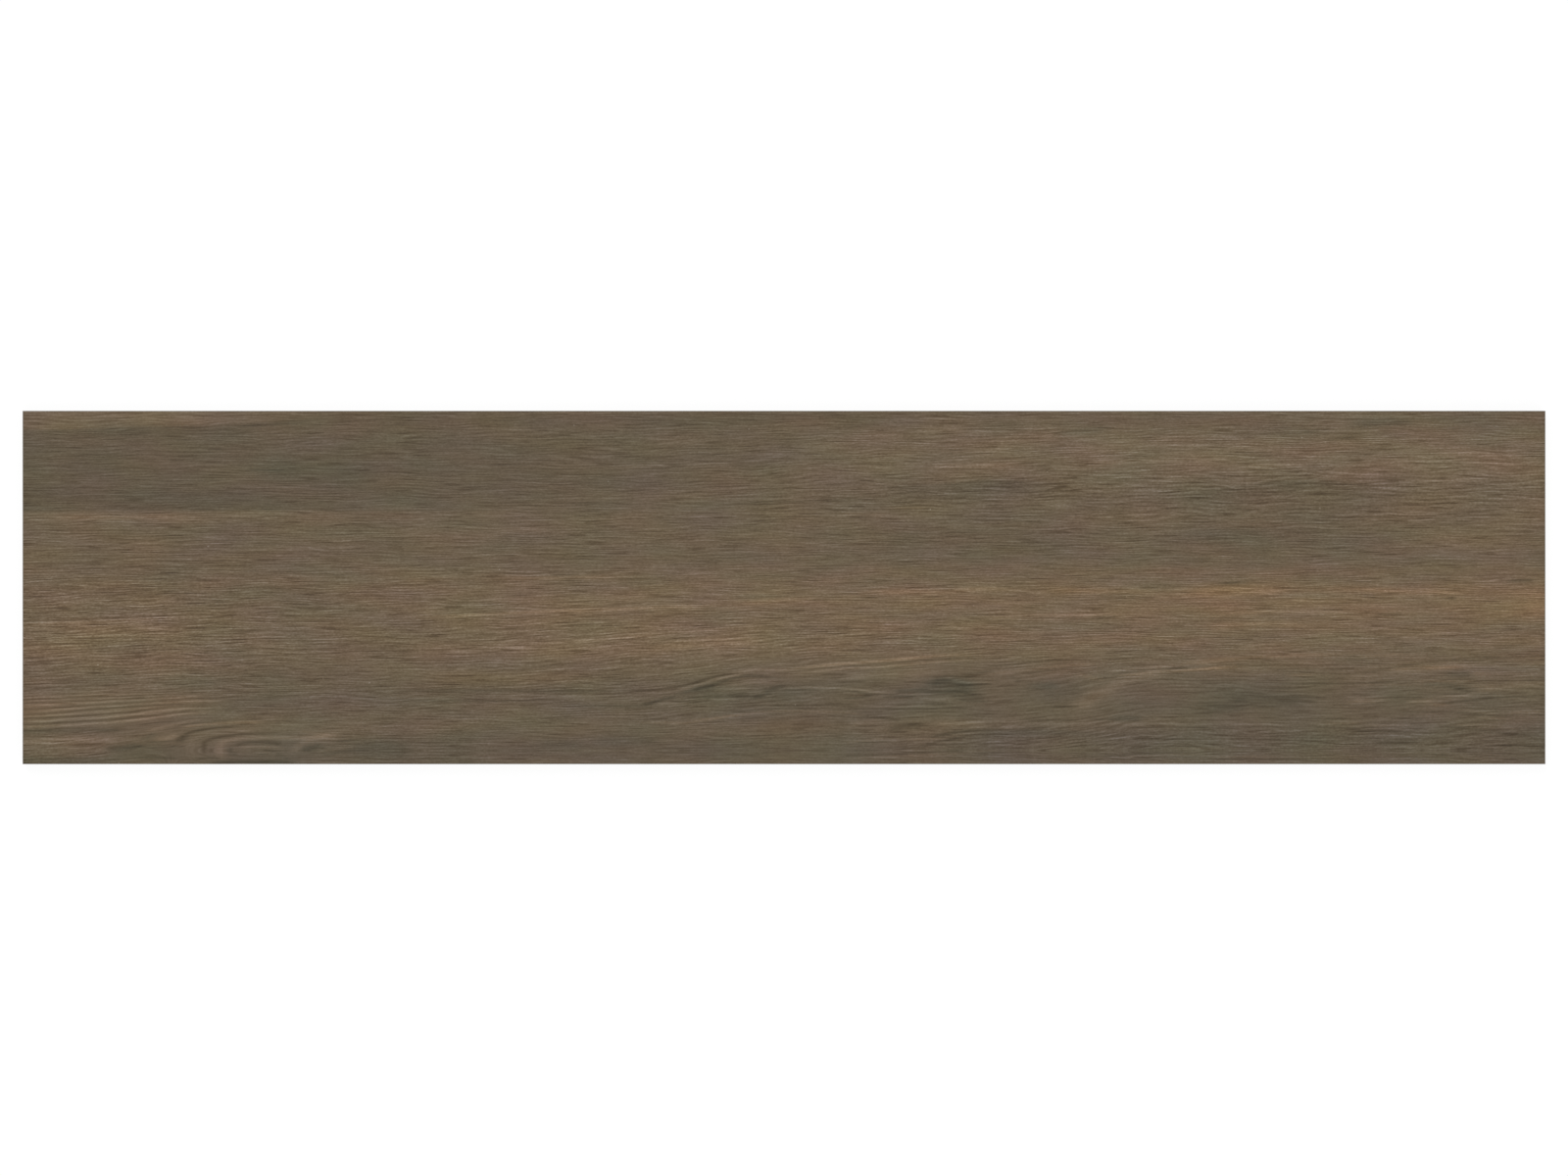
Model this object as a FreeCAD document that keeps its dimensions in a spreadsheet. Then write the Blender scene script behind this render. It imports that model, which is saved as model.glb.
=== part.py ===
"""Wood look porcelain plank tile: one slab, dry pressed, fired, and ground square on its four edges.

Frame: X along the plank, Y across it, +Z out of the decorated face. The origin is the centre of the
bedding face, which is the plane of the rib tops on the back. All sizes are in millimetres.
"""

import FreeCAD
import Part
import Sketcher
import os

# The driving dimensions, one spreadsheet row each: alias, value, what it measures.
SIZES = (
    ("tile_length", 1000.0, "plank length, edge to edge"),
    ("tile_width", 232.0, "plank width, edge to edge"),
    ("tile_thickness", 9.5, "rib tops on the back to the decorated face"),
    ("arris_bevel", 0.5, "45 degree bevel ground round the decorated face"),
    ("cell_length", 36.0, "keying recess at its mouth, along the plank"),
    ("cell_width", 32.0, "keying recess at its mouth, across the plank"),
    ("cell_depth", 0.6, "keying recess, rib top to recess floor"),
    ("cell_corner", 4.0, "plan radius in the corners of a recess"),
    ("cell_draft", 30.0, "lean of a recess wall away from the press direction, degrees"),
    ("rib_width", 3.0, "rib top between two neighbouring recesses"),
    ("back_margin", 10.0, "least width of the plain band round the recesses"),
)

# A rectangle's sides are drawn in this order, anticlockwise from the one at -Y.
FRONT, RIGHT, BACK, LEFT = SIDES = range(4)
OUTWARD = [FreeCAD.Vector(x, y, 0) for x, y in ((0, -1), (1, 0), (0, 1), (-1, 0))]

# A sketch names a point as (geometry index, point index), and its own origin as the start of its first axis.
START, END = range(1, 3)
SKETCH_ORIGIN = (-1, START)


def make_sheet(doc):
    """The spreadsheet that every feature below is bound to."""
    sheet = doc.addObject("Spreadsheet::Sheet", "sizes")
    for row, (alias, value, note) in enumerate(SIZES, start=1):
        sheet.set(f"A{row}", alias)
        sheet.set(f"B{row}", str(value))
        sheet.set(f"C{row}", note)
        sheet.setAlias(f"B{row}", alias)
    doc.recompute()
    return sheet


def size(alias):
    """Expression: one driving dimension."""
    return f"sizes.{alias}"


def cell_pitch(cell_side):
    """Expression: from one recess to the next."""
    return f"({size(cell_side)} + {size('rib_width')})"


def cell_count(tile_side, cell_side):
    """Expression: how many recesses fit between the margins along one side of the tile."""
    room = f"({size(tile_side)} - 2 * {size('back_margin')} + {size('rib_width')})"
    return f"floor({room} / {cell_pitch(cell_side)})"


def lattice_travel(tile_side, cell_side):
    """Expression: from the first recess to the same point of the last one."""
    return f"({cell_count(tile_side, cell_side)} - 1) * {cell_pitch(cell_side)}"


def lattice_half(tile_side, cell_side):
    """Expression: from the tile's centre line to the outer side of the outermost recess."""
    return f"({lattice_travel(tile_side, cell_side)} + {size(cell_side)}) / 2"


def origin_feature(body, role):
    """One of the body's own origin planes or axes, by its role."""
    return next(feature for feature in body.Origin.OriginFeatures if feature.Role == role)


def new_sketch(body, label):
    """An empty sketch on the plane of the rib tops, seen from above."""
    sketch = body.newObject("Sketcher::SketchObject", label)
    sketch.AttachmentSupport = [(origin_feature(body, "XY_Plane"), "")]
    sketch.MapMode = "FlatFace"
    return sketch


def relate(sketch, *relation):
    """Adds a relation between the lines and arcs of a sketch."""
    sketch.addConstraint(Sketcher.Constraint(*relation))


def bind(sketch, expression, *dimension):
    """Adds a dimension to a sketch, driven by an expression."""
    index = sketch.addConstraint(Sketcher.Constraint(*dimension))
    sketch.setExpression(f"Constraints[{index}]", expression)


def following(side):
    """The side that starts where this one ends."""
    return (side + 1) % len(SIDES)


def corner(length, width, side):
    """Where this side of a rectangle, centred on the origin, meets the following one."""
    both = OUTWARD[side] + OUTWARD[following(side)]
    return FreeCAD.Vector(both.x * length / 2, both.y * width / 2, 0)


def square_sides(sketch):
    """Two level sides and two upright ones."""
    for side in SIDES:
        relate(sketch, "Horizontal" if side in (FRONT, BACK) else "Vertical", side)


def draw_outline(sketch, sheet):
    """The plank's rectangle, centred on the origin."""
    length, width = sheet.tile_length, sheet.tile_width
    for side in SIDES:
        sketch.addGeometry(Part.LineSegment(corner(length, width, side - 1), corner(length, width, side)))
    for side in SIDES:
        relate(sketch, "Coincident", side, END, following(side), START)
    square_sides(sketch)
    relate(sketch, "Symmetric", FRONT, START, BACK, START, *SKETCH_ORIGIN)
    bind(sketch, size("tile_length"), "DistanceX", FRONT, START, FRONT, END, length)
    bind(sketch, size("tile_width"), "DistanceY", RIGHT, START, RIGHT, END, width)


def draw_first_cell(sketch, sheet):
    """The mouth of the recess nearest the -X, -Y corner: a rectangle with round corners."""
    length, width, radius = sheet.cell_length, sheet.cell_width, sheet.cell_corner
    middle = FreeCAD.Vector(-sheet.tile_length / 2 + length, -sheet.tile_width / 2 + width, 0)
    centres = [middle + corner(length - 2 * radius, width - 2 * radius, side) for side in SIDES]
    for side in SIDES:
        shift = OUTWARD[side] * radius
        sketch.addGeometry(Part.LineSegment(centres[side - 1] + shift, centres[side] + shift))
    arcs = []
    for side in SIDES:
        here, there = OUTWARD[side], OUTWARD[following(side)]
        between = (here + there).normalize()
        through = [centres[side] + direction * radius for direction in (here, between, there)]
        arcs.append(sketch.addGeometry(Part.Arc(*through)))
    for side in SIDES:
        relate(sketch, "Tangent", side, END, arcs[side], START)
        relate(sketch, "Tangent", arcs[side], END, following(side), START)
    square_sides(sketch)
    for arc in arcs[1:]:
        relate(sketch, "Equal", arcs[0], arc)
    bind(sketch, size("cell_corner"), "Radius", arcs[0], radius)
    bind(sketch, size("cell_length"), "DistanceX", LEFT, START, RIGHT, START, length)
    bind(sketch, size("cell_width"), "DistanceY", FRONT, START, BACK, START, width)
    along = lattice_half("tile_length", "cell_length")
    across = lattice_half("tile_width", "cell_width")
    bind(sketch, along, "DistanceX", LEFT, START, *SKETCH_ORIGIN, sheet.tile_length / 2)
    bind(sketch, across, "DistanceY", FRONT, START, *SKETCH_ORIGIN, sheet.tile_width / 2)


def press_slab(body, sheet):
    """The pressed and fired slab, as deep as the finished tile."""
    outline = new_sketch(body, "outline")
    draw_outline(outline, sheet)
    slab = body.newObject("PartDesign::Pad", "slab")
    slab.Profile = outline
    slab.setExpression("Length", size("tile_thickness"))
    body.Document.recompute()
    return slab


def grind_arris(body, slab):
    """The narrow bevel round the decorated face that a ground edge is left with."""
    top = slab.Shape.BoundBox.ZMax
    rim = [
        f"Edge{number}"
        for number, edge in enumerate(slab.Shape.Edges, start=1)
        if all(abs(vertex.Z - top) < Part.Precision.confusion() for vertex in edge.Vertexes)
    ]
    arris = body.newObject("PartDesign::Chamfer", "arris")
    arris.Base = (slab, rim)
    arris.setExpression("Size", size("arris_bevel"))
    body.Document.recompute()
    return arris


def press_back(body, sheet):
    """The lattice of shallow recesses on the back, which leaves the ribs that adhesive keys to."""
    mouth = new_sketch(body, "cell_mouth")
    draw_first_cell(mouth, sheet)
    cell = body.newObject("PartDesign::Pocket", "cell")
    cell.Profile = mouth
    cell.Reversed = True
    cell.setExpression("Length", size("cell_depth"))
    cell.setExpression("TaperAngle", f"-{size('cell_draft')}")
    body.Document.recompute()
    lattice = body.newObject("PartDesign::LinearPattern", "lattice")
    lattice.Originals = [cell]
    lattice.Direction = (origin_feature(body, "X_Axis"), [""])
    lattice.setExpression("Occurrences", cell_count("tile_length", "cell_length"))
    lattice.setExpression("Length", lattice_travel("tile_length", "cell_length"))
    lattice.Direction2 = (origin_feature(body, "Y_Axis"), [""])
    lattice.setExpression("Occurrences2", cell_count("tile_width", "cell_width"))
    lattice.setExpression("Length2", lattice_travel("tile_width", "cell_width"))
    body.Tip = lattice
    body.Document.recompute()
    return lattice


def make_plank_tile(doc, sheet):
    """The whole tile, as one body."""
    body = doc.addObject("PartDesign::Body", "plank_tile")
    body.Label = "plank_tile"
    slab = press_slab(body, sheet)
    arris = grind_arris(body, slab)
    lattice = press_back(body, sheet)
    check_cuts(slab, arris, lattice)
    return body


def check_cuts(*features):
    """Each feature after the slab has to take material away."""
    volumes = [feature.Shape.Volume for feature in features]
    if volumes != sorted(set(volumes), reverse=True):
        raise RuntimeError(f"a bevel or recess cuts nothing: the volumes are {volumes}")


def check_document(doc, body):
    """Stops on a failed feature or a bad solid, before anything is written."""
    failed = [item.Label for item in doc.Objects if {"Invalid", "Error"} & set(item.State)]
    if failed:
        raise RuntimeError(f"features that failed: {failed}")
    if body.Shape.isNull() or not body.Shape.isValid() or len(body.Shape.Solids) != 1:
        raise RuntimeError(f"{body.Label} is not one valid solid")


def main():
    doc = FreeCAD.newDocument("plank_tile_model")
    sheet = make_sheet(doc)
    body = make_plank_tile(doc, sheet)
    check_document(doc, body)
    os.makedirs("parts", exist_ok=True)
    body.Shape.exportStep(f"parts/{body.Label}.step")
    box = body.Shape.BoundBox
    print(f"{body.Label}: {box.XLength:.2f} x {box.YLength:.2f} x {box.ZLength:.2f} mm")
    print(f"volume {body.Shape.Volume:.0f} mm3, {len(body.Shape.Faces)} faces")


main()
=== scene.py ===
"""Wood look porcelain plank tile: its printed and embossed face, ground edges and ribbed back.

Frame: X along the plank, Y across it, +Z out of the decorated face, all in metres. The origin is the
centre of the bedding face. Places in the grain are given as pixels of the 1600 x 1200 photograph.
"""

import math

import bpy
import numpy as np
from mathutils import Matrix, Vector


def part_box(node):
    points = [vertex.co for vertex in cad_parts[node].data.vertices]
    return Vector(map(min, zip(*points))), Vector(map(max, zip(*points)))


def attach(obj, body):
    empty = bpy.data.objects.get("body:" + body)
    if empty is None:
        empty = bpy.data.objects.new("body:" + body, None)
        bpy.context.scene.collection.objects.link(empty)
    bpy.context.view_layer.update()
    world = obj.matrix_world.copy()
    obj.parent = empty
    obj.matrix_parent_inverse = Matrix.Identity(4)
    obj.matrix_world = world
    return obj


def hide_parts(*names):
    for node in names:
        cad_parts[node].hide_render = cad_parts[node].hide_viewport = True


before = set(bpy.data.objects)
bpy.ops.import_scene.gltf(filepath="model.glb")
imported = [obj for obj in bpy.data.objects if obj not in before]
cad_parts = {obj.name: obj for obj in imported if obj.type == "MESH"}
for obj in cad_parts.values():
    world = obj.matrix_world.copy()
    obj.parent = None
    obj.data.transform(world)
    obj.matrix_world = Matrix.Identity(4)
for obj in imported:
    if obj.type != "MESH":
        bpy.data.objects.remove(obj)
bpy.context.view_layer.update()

NODE = "plank_tile"
MM = 0.001

# The tile's own sizes: the outside from the frame, the rest as on the solid.
LOW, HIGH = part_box(NODE)
LENGTH = HIGH[0] - LOW[0]
WIDTH = HIGH[1] - LOW[1]
TOP = HIGH[2]
ARRIS_BEVEL = 0.5 * MM
CELL_LENGTH = 36.0 * MM
CELL_WIDTH = 32.0 * MM
CELL_DEPTH = 0.6 * MM
CELL_CORNER = 4.0 * MM
CELL_DRAFT = math.radians(30.0)
RIB_WIDTH = 3.0 * MM
BACK_MARGIN = 10.0 * MM
CELL_CORNER_STEPS = 4
# Slack for rounding, in the count of recesses and in a place on the rim.
COUNT_SLACK = 1e-6
RIM_SLACK = 1e-4 * MM

# The embossed face is a grid, finer across the grain than along it. Its lines stand closer together where
# the figure turns: up to each of these pixels, that many pixels apart.
GRID_COLUMNS = ((115, 12.0), (355, 4.5), (640, 14.0), (770, 4.0), (1180, 6.5), (1370, 12.0), (1577, 8.0))
GRID_ROWS = ((660, 1.08), (780, 0.69))

# Where the tile lies in the photograph.
IMAGE_WIDTH = 1600
IMAGE_HEIGHT = 1200
TILE_CENTRE_PX = (800.0, 599.5)
TILE_LENGTH_PX = 1554.0
PX = LENGTH / TILE_LENGTH_PX

# The mean colour of the face, as linear light, and how its tone and warmth spread from there.
# One level is a step of a 0 to 255 display near that mean.
FACE_COLOUR = (0.1259, 0.0892, 0.0508)
TONE_STEP = (0.0232, 0.0281, 0.0386)
WARM_STEP = (0.0102, -0.0031, -0.0217)
GREEN_STEP = (-0.0077, 0.0093, -0.0128)

# Broad streaks of the figure. First come how far a streak reaches above and below its line in pixels,
# how many levels lighter it is, and how many levels of red over blue it is warmer. Then comes the line:
# x and y in pixels, and how much of the streak shows there, for one point after the other.
BROAD_STREAKS = (
    # dull grey wood at the upper left, down to a straight joint in the figure with light wood under it
    (44, 44, -6, -4.2, -200, 478, 1, 450, 478, 1, 620, 472, 0.75, 800, 452, 0.35, 900, 440, 0),
    (22, 1, -4.5, -3, -200, 520, 1, 180, 520, 1, 420, 520, 0.4, 640, 518, 0),
    (1.3, 10, 5.75, 3.5, -200, 524, 1, 180, 524, 1, 260, 523, 0.6, 450, 523, 0.35, 620, 524, 0),
    (18, 1.6, 7, 4, -200, 436, 1, 60, 436, 1, 200, 432, 0.9, 300, 427, 0.5, 400, 422, 0),
    (8, 10, -3.75, -0.5, 180, 425, 0, 280, 426, 1, 760, 424, 1, 860, 422, 0.8, 960, 418, 0),
    # paler wood at the left end, at the upper right and at the right end
    (40, 40, 2, 3, -200, 580, 1, 155, 580, 1, 178, 580, 0),
    (26, 22, 6, 3.2, 780, 470, 0, 900, 462, 0.75, 1100, 462, 1, 1500, 466, 1.1, 1750, 468, 1.1),
    (52, 46, 3.2, 3.4, 1390, 532, 0, 1480, 532, 1, 1750, 532, 1),
    # the warm heart
    (14, 30, 2.75, 3.4, 300, 592, 0, 450, 592, 1, 800, 592, 1, 1750, 590, 1),
    (40, 36, 5.75, 6.2, -200, 650, 1, 180, 648, 1, 240, 648, 0.35, 400, 648, 0.4, 520, 645, 1, 900, 640, 1,
     1750, 628, 1),
    (10, 24, 2.25, 4.4, 1150, 606, 0, 1250, 606, 1, 1350, 608, 0.6, 1480, 608, 0.7, 1580, 612, 1,
     1750, 612, 1),
    # the dark foot of the plank
    (22, 24, -4.75, -5.2, 180, 702, 0, 280, 708, 0.7, 420, 712, 0.5, 520, 716, 0.4, 640, 716, 0.7,
     780, 716, 1, 1000, 712, 1, 1120, 712, 0.7, 1250, 712, 1.2, 1400, 716, 0.8, 1750, 716, 0.5),
    (20, 26, -6, -6.4, 100, 770, 0, 250, 772, 1, 420, 766, 1, 700, 764, 0.9, 900, 766, 0.9, 1200, 758, 1.1,
     1750, 758, 1.1),
    (18, 14, 3.75, 2.6, -200, 722, 1, 120, 720, 1, 230, 714, 0),
)
# Fine streaks, in the same order, but with x and y only.
FINE_STREAKS = (
    # upper left
    (1, 10, -5.5, -2, -120, 440, 100, 439, 220, 436, 300, 433),
    (1.5, 2, -8, -3, 240, 434, 320, 431),
    (1.2, 1.5, -10, -4, 245, 479, 295, 480),
    (16, 12, -3, -4, 250, 484, 400, 482),
    (1.2, 1.2, 7, 0, 180, 496, 280, 497, 350, 495),
    (1, 1.2, 7, 0, 330, 512, 420, 513),
    (2, 2.5, 7, 4, 40, 527, 120, 528, 190, 526),
    (10, 10, -2, -2, 60, 470, 130, 474),
    (6, 8, -3, -1, 320, 423, 392, 424, 460, 424),
    # upper right
    (6, 8, 4, 2, 1330, 424, 1400, 425, 1480, 426),
    (8, 8, 3.5, 0, 1070, 490, 1150, 489, 1250, 491),
    (6, 6, -4, 0, 810, 423, 880, 424, 950, 424),
    (7, 7, 0, -3.5, 590, 516, 675, 515, 760, 515),
    (2, 2, 8, 2, 620, 477, 690, 475),
    (1.5, 1.5, -8, -2, 570, 514, 620, 514),
    (1.2, 1.5, -7, -2, 720, 514, 860, 510, 900, 511),
    (3, 5, 5, 2, 930, 436, 990, 440),
    (2.5, 3, 7, 2, 940, 477, 1000, 475, 1050, 474),
    (3, 3, 5, 2, 1100, 474, 1160, 470, 1210, 472),
    (2.5, 3, 6, 2, 1260, 476, 1340, 474),
    (5, 8, 4, 1, 1410, 470, 1500, 466, 1577, 470),
    (2, 2, 6, 1, 1420, 490, 1520, 490),
    (6, 9, 4, 1, 1105, 500, 1160, 497, 1215, 493),
    (3, 17, -6, -4, 870, 499, 950, 497, 1010, 492, 1100, 494),
    (3, 17, -6, -4, 1190, 508, 1250, 499, 1290, 494, 1340, 492, 1420, 498),
    (3, 19, -5, -3, 870, 547, 960, 544, 1020, 541, 1110, 548),
    (3, 19, -5.5, -3, 1170, 546, 1250, 542, 1310, 540, 1400, 546),
    (2.5, 3, 6, 3, 850, 525, 880, 524, 910, 526),
    (1.5, 1.5, 6, 4, 900, 519, 950, 518),
    (1.5, 2, -11, -3, 1350, 449, 1385, 446),
    (1.5, 1.5, -10, -3, 1320, 441, 1350, 440),
    (4, 4, -7, -4, 1370, 434, 1420, 430, 1450, 432),
    (3, 4, -5, -4, 1070, 444, 1140, 436),
    # middle
    (9, 8, -3.5, -2.5, -60, 628, 60, 628, 160, 630),
    (6, 6, -4, 0, 630, 629, 700, 628, 770, 628),
    (5, 6, 0, 4, 80, 597, 157, 597, 240, 597),
    (5, 6, 0, 4, 320, 597, 400, 598, 480, 598),
    (4, 4, -1, -5, 730, 611, 802, 610, 870, 609),
    (4, 4, 0, -4, 1290, 607, 1358, 607, 1420, 607),
    (5, 5, 4, 4.5, -80, 695, 70, 696),
    (5, 5, -4, 0, 100, 709, 165, 709, 225, 709),
    (7, 7, 3.5, 1.5, 1360, 686, 1440, 682, 1530, 674),
    (6, 6, 1, 3, 1450, 673, 1540, 671, 1700, 670),
    (2, 3, 5, 2, 500, 540, 560, 540),
    (1.3, 1.5, 7, 1, 250, 591, 300, 590, 420, 590),
    (2.5, 2, 7, 4, 410, 592, 470, 591),
    (2, 2, 6, 5, 500, 590, 560, 590, 640, 589),
    (1.4, 1.5, 12, 2, -20, 640, 60, 636, 130, 633, 210, 629),
    (9, 12, 2, 1, 30, 646, 190, 645),
    (1.2, 1.4, 8, 1, 240, 637, 340, 636),
    (1.6, 1.8, 12, 4, 410, 631, 480, 628, 560, 624, 640, 621, 750, 617),
    (1.5, 1.6, 13, 2, 530, 658, 620, 652, 700, 645, 790, 637),
    (3, 3, 6, 4, 740, 616, 800, 612, 850, 608),
    (2.5, 3, 9, 5, 850, 611, 890, 604, 960, 604, 1000, 601, 1070, 603),
    (6, 6, 6, 4, 650, 663, 720, 655, 810, 655),
    (12, 10, 2, 2.5, 480, 650, 560, 662, 640, 664),
    (7, 7, 2, 4, 380, 690, 540, 691, 640, 691),
    (8, 10, 0, 3, 190, 598, 260, 597, 330, 598),
    (8, 8, 0, 3, 1200, 672, 1300, 674, 1400, 672),
    (4, 4, -3.5, -1, 1340, 615, 1430, 615),
    (1.2, 1.4, 12, 2, 1040, 628, 1150, 627),
    (3, 3, 6, 5, 1050, 602, 1120, 603, 1190, 604),
    (6, 6, 5, 5, 1200, 604, 1260, 602, 1330, 601),
    (1.3, 1.5, 11, 2, 1230, 626, 1300, 624, 1390, 625),
    (3.5, 4, 6, 5, 1220, 639, 1290, 636, 1340, 638),
    (2, 2.5, 6, 4, 1370, 600, 1440, 604, 1510, 604),
    (14, 20, 2, 4, 1510, 614, 1560, 612, 1720, 612),
    (1.6, 1.6, -19, -5, 1241, 596, 1272, 594),
    (1.6, 1.6, -19, -5, 1538, 593, 1570, 592),
    (1.8, 1.8, -19, -4, 1180, 612, 1191, 611),
    (1.8, 1.8, -17, -4, 1475, 610, 1486, 610),
    (2, 2, -11, -3, 1112, 630, 1140, 630),
    (2, 2, -11, -3, 1402, 627, 1434, 627),
    # the edge between the warm heart and the dark foot
    (1.4, 1.6, 10, 3, 740, 687, 770, 683, 815, 684),
    (1.5, 1.7, 19, 6, 785, 685, 850, 678, 900, 674.5, 960, 669, 1010, 667),
    (1.2, 1.3, 14, 4, 795, 689, 860, 682.5, 900, 680, 960, 675, 1020, 671),
    (1, 1, -10, -1, 800, 686.5, 860, 679.8, 900, 677.3, 960, 672, 1020, 669),
    (2, 2, 7, 4, 1180, 678, 1260, 672, 1330, 668, 1400, 668),
    (1.5, 1.5, 6, 7, 1180, 687, 1230, 683, 1270, 680),
    (1.2, 1.4, -12, -2, 1350, 688, 1395, 686, 1415, 682, 1440, 678, 1465, 675, 1510, 672, 1720, 664),
    (2.5, 2.5, 6, 2, 1390, 691, 1440, 683, 1500, 680, 1720, 674),
    (1.2, 2.5, -10, -3, 370, 705, 450, 704, 600, 705, 660, 704),
    (1.2, 1.5, -8, -3, 390, 714, 500, 715, 570, 715),
    (1.2, 1.4, 6, 0, 430, 709, 560, 709, 700, 711),
    (1.5, 1.5, -8, -3, 570, 720, 670, 721),
    # dark foot, right of the middle
    (8, 8, -3, -4, 690, 708, 760, 707, 840, 708),
    (2.5, 2.5, 6, 1, 665, 719, 695, 719),
    (1.5, 1.6, 6, 4, 640, 737, 700, 738, 740, 731, 775, 728),
    (4, 4, 7, 2, 850, 689, 900, 688, 970, 685),
    (9, 12, -4, -4, 930, 698, 970, 698, 1010, 702),
    (1.5, 1.5, -10, -3, 980, 688, 1020, 685),
    (7, 5, 3, 0, 1015, 700, 1050, 690),
    (4, 4, -7, -5, 1046, 700, 1084, 699),
    (12, 12, -4, -3, 1056, 706, 1115, 706),
    (3, 3, -11, -6, 1130, 733, 1170, 733),
    (1.3, 1.5, 7, 0, 1020, 739, 1200, 738, 1340, 738),
    (2, 6, -6, -4, 970, 753, 1010, 747, 1060, 746, 1140, 748),
    (7, 8, -6, -4, 1240, 712, 1290, 713, 1350, 715),
    (4, 4, -7, -4, 1225, 722, 1275, 722),
    (3, 3, 9, 3, 1374, 715, 1400, 713, 1424, 715),
    (3, 3, 7, 2, 1420, 723, 1460, 715, 1500, 709, 1540, 700, 1720, 686),
    (3, 3, 5, 2, 1500, 687, 1720, 683),
    (7, 7, 0, -3.5, 1290, 756, 1377, 756, 1460, 756),
    # dark foot, left of the middle
    (5, 6, -3.5, -2, 150, 776, 217, 775, 280, 775),
    (2.5, 3, -7, -4, -120, 747, 60, 746, 135, 744),
    (3, 4, 12, 3, -120, 761, 60, 756, 110, 754, 160, 750),
    (1.1, 1.3, -11, 2, 50, 760, 120, 759),
    (2, 2, 5, 1, 10, 764, 120, 762),
    (5, 12, -5, -4, 95, 772, 130, 765, 165, 763, 200, 768),
    (5, 9, -9, -7, -120, 776, 100, 777, 150, 775),
    (1.2, 1.4, 10, 1, 150, 690, 195, 685),
    (5, 5, 7, 2, 310, 757, 330, 753, 350, 750),
    (7, 9, -6, -4, 345, 766, 390, 762, 430, 768),
    (5, 6, -6, -4, 540, 757, 600, 760),
    (5, 6, -4, -3, 600, 757, 680, 757),
)
# A fine streak fades out at its ends over this share of its length, but never over more than so many pixels.
FINE_FADE = 0.28
FINE_FADE_PX = 70.0

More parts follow.
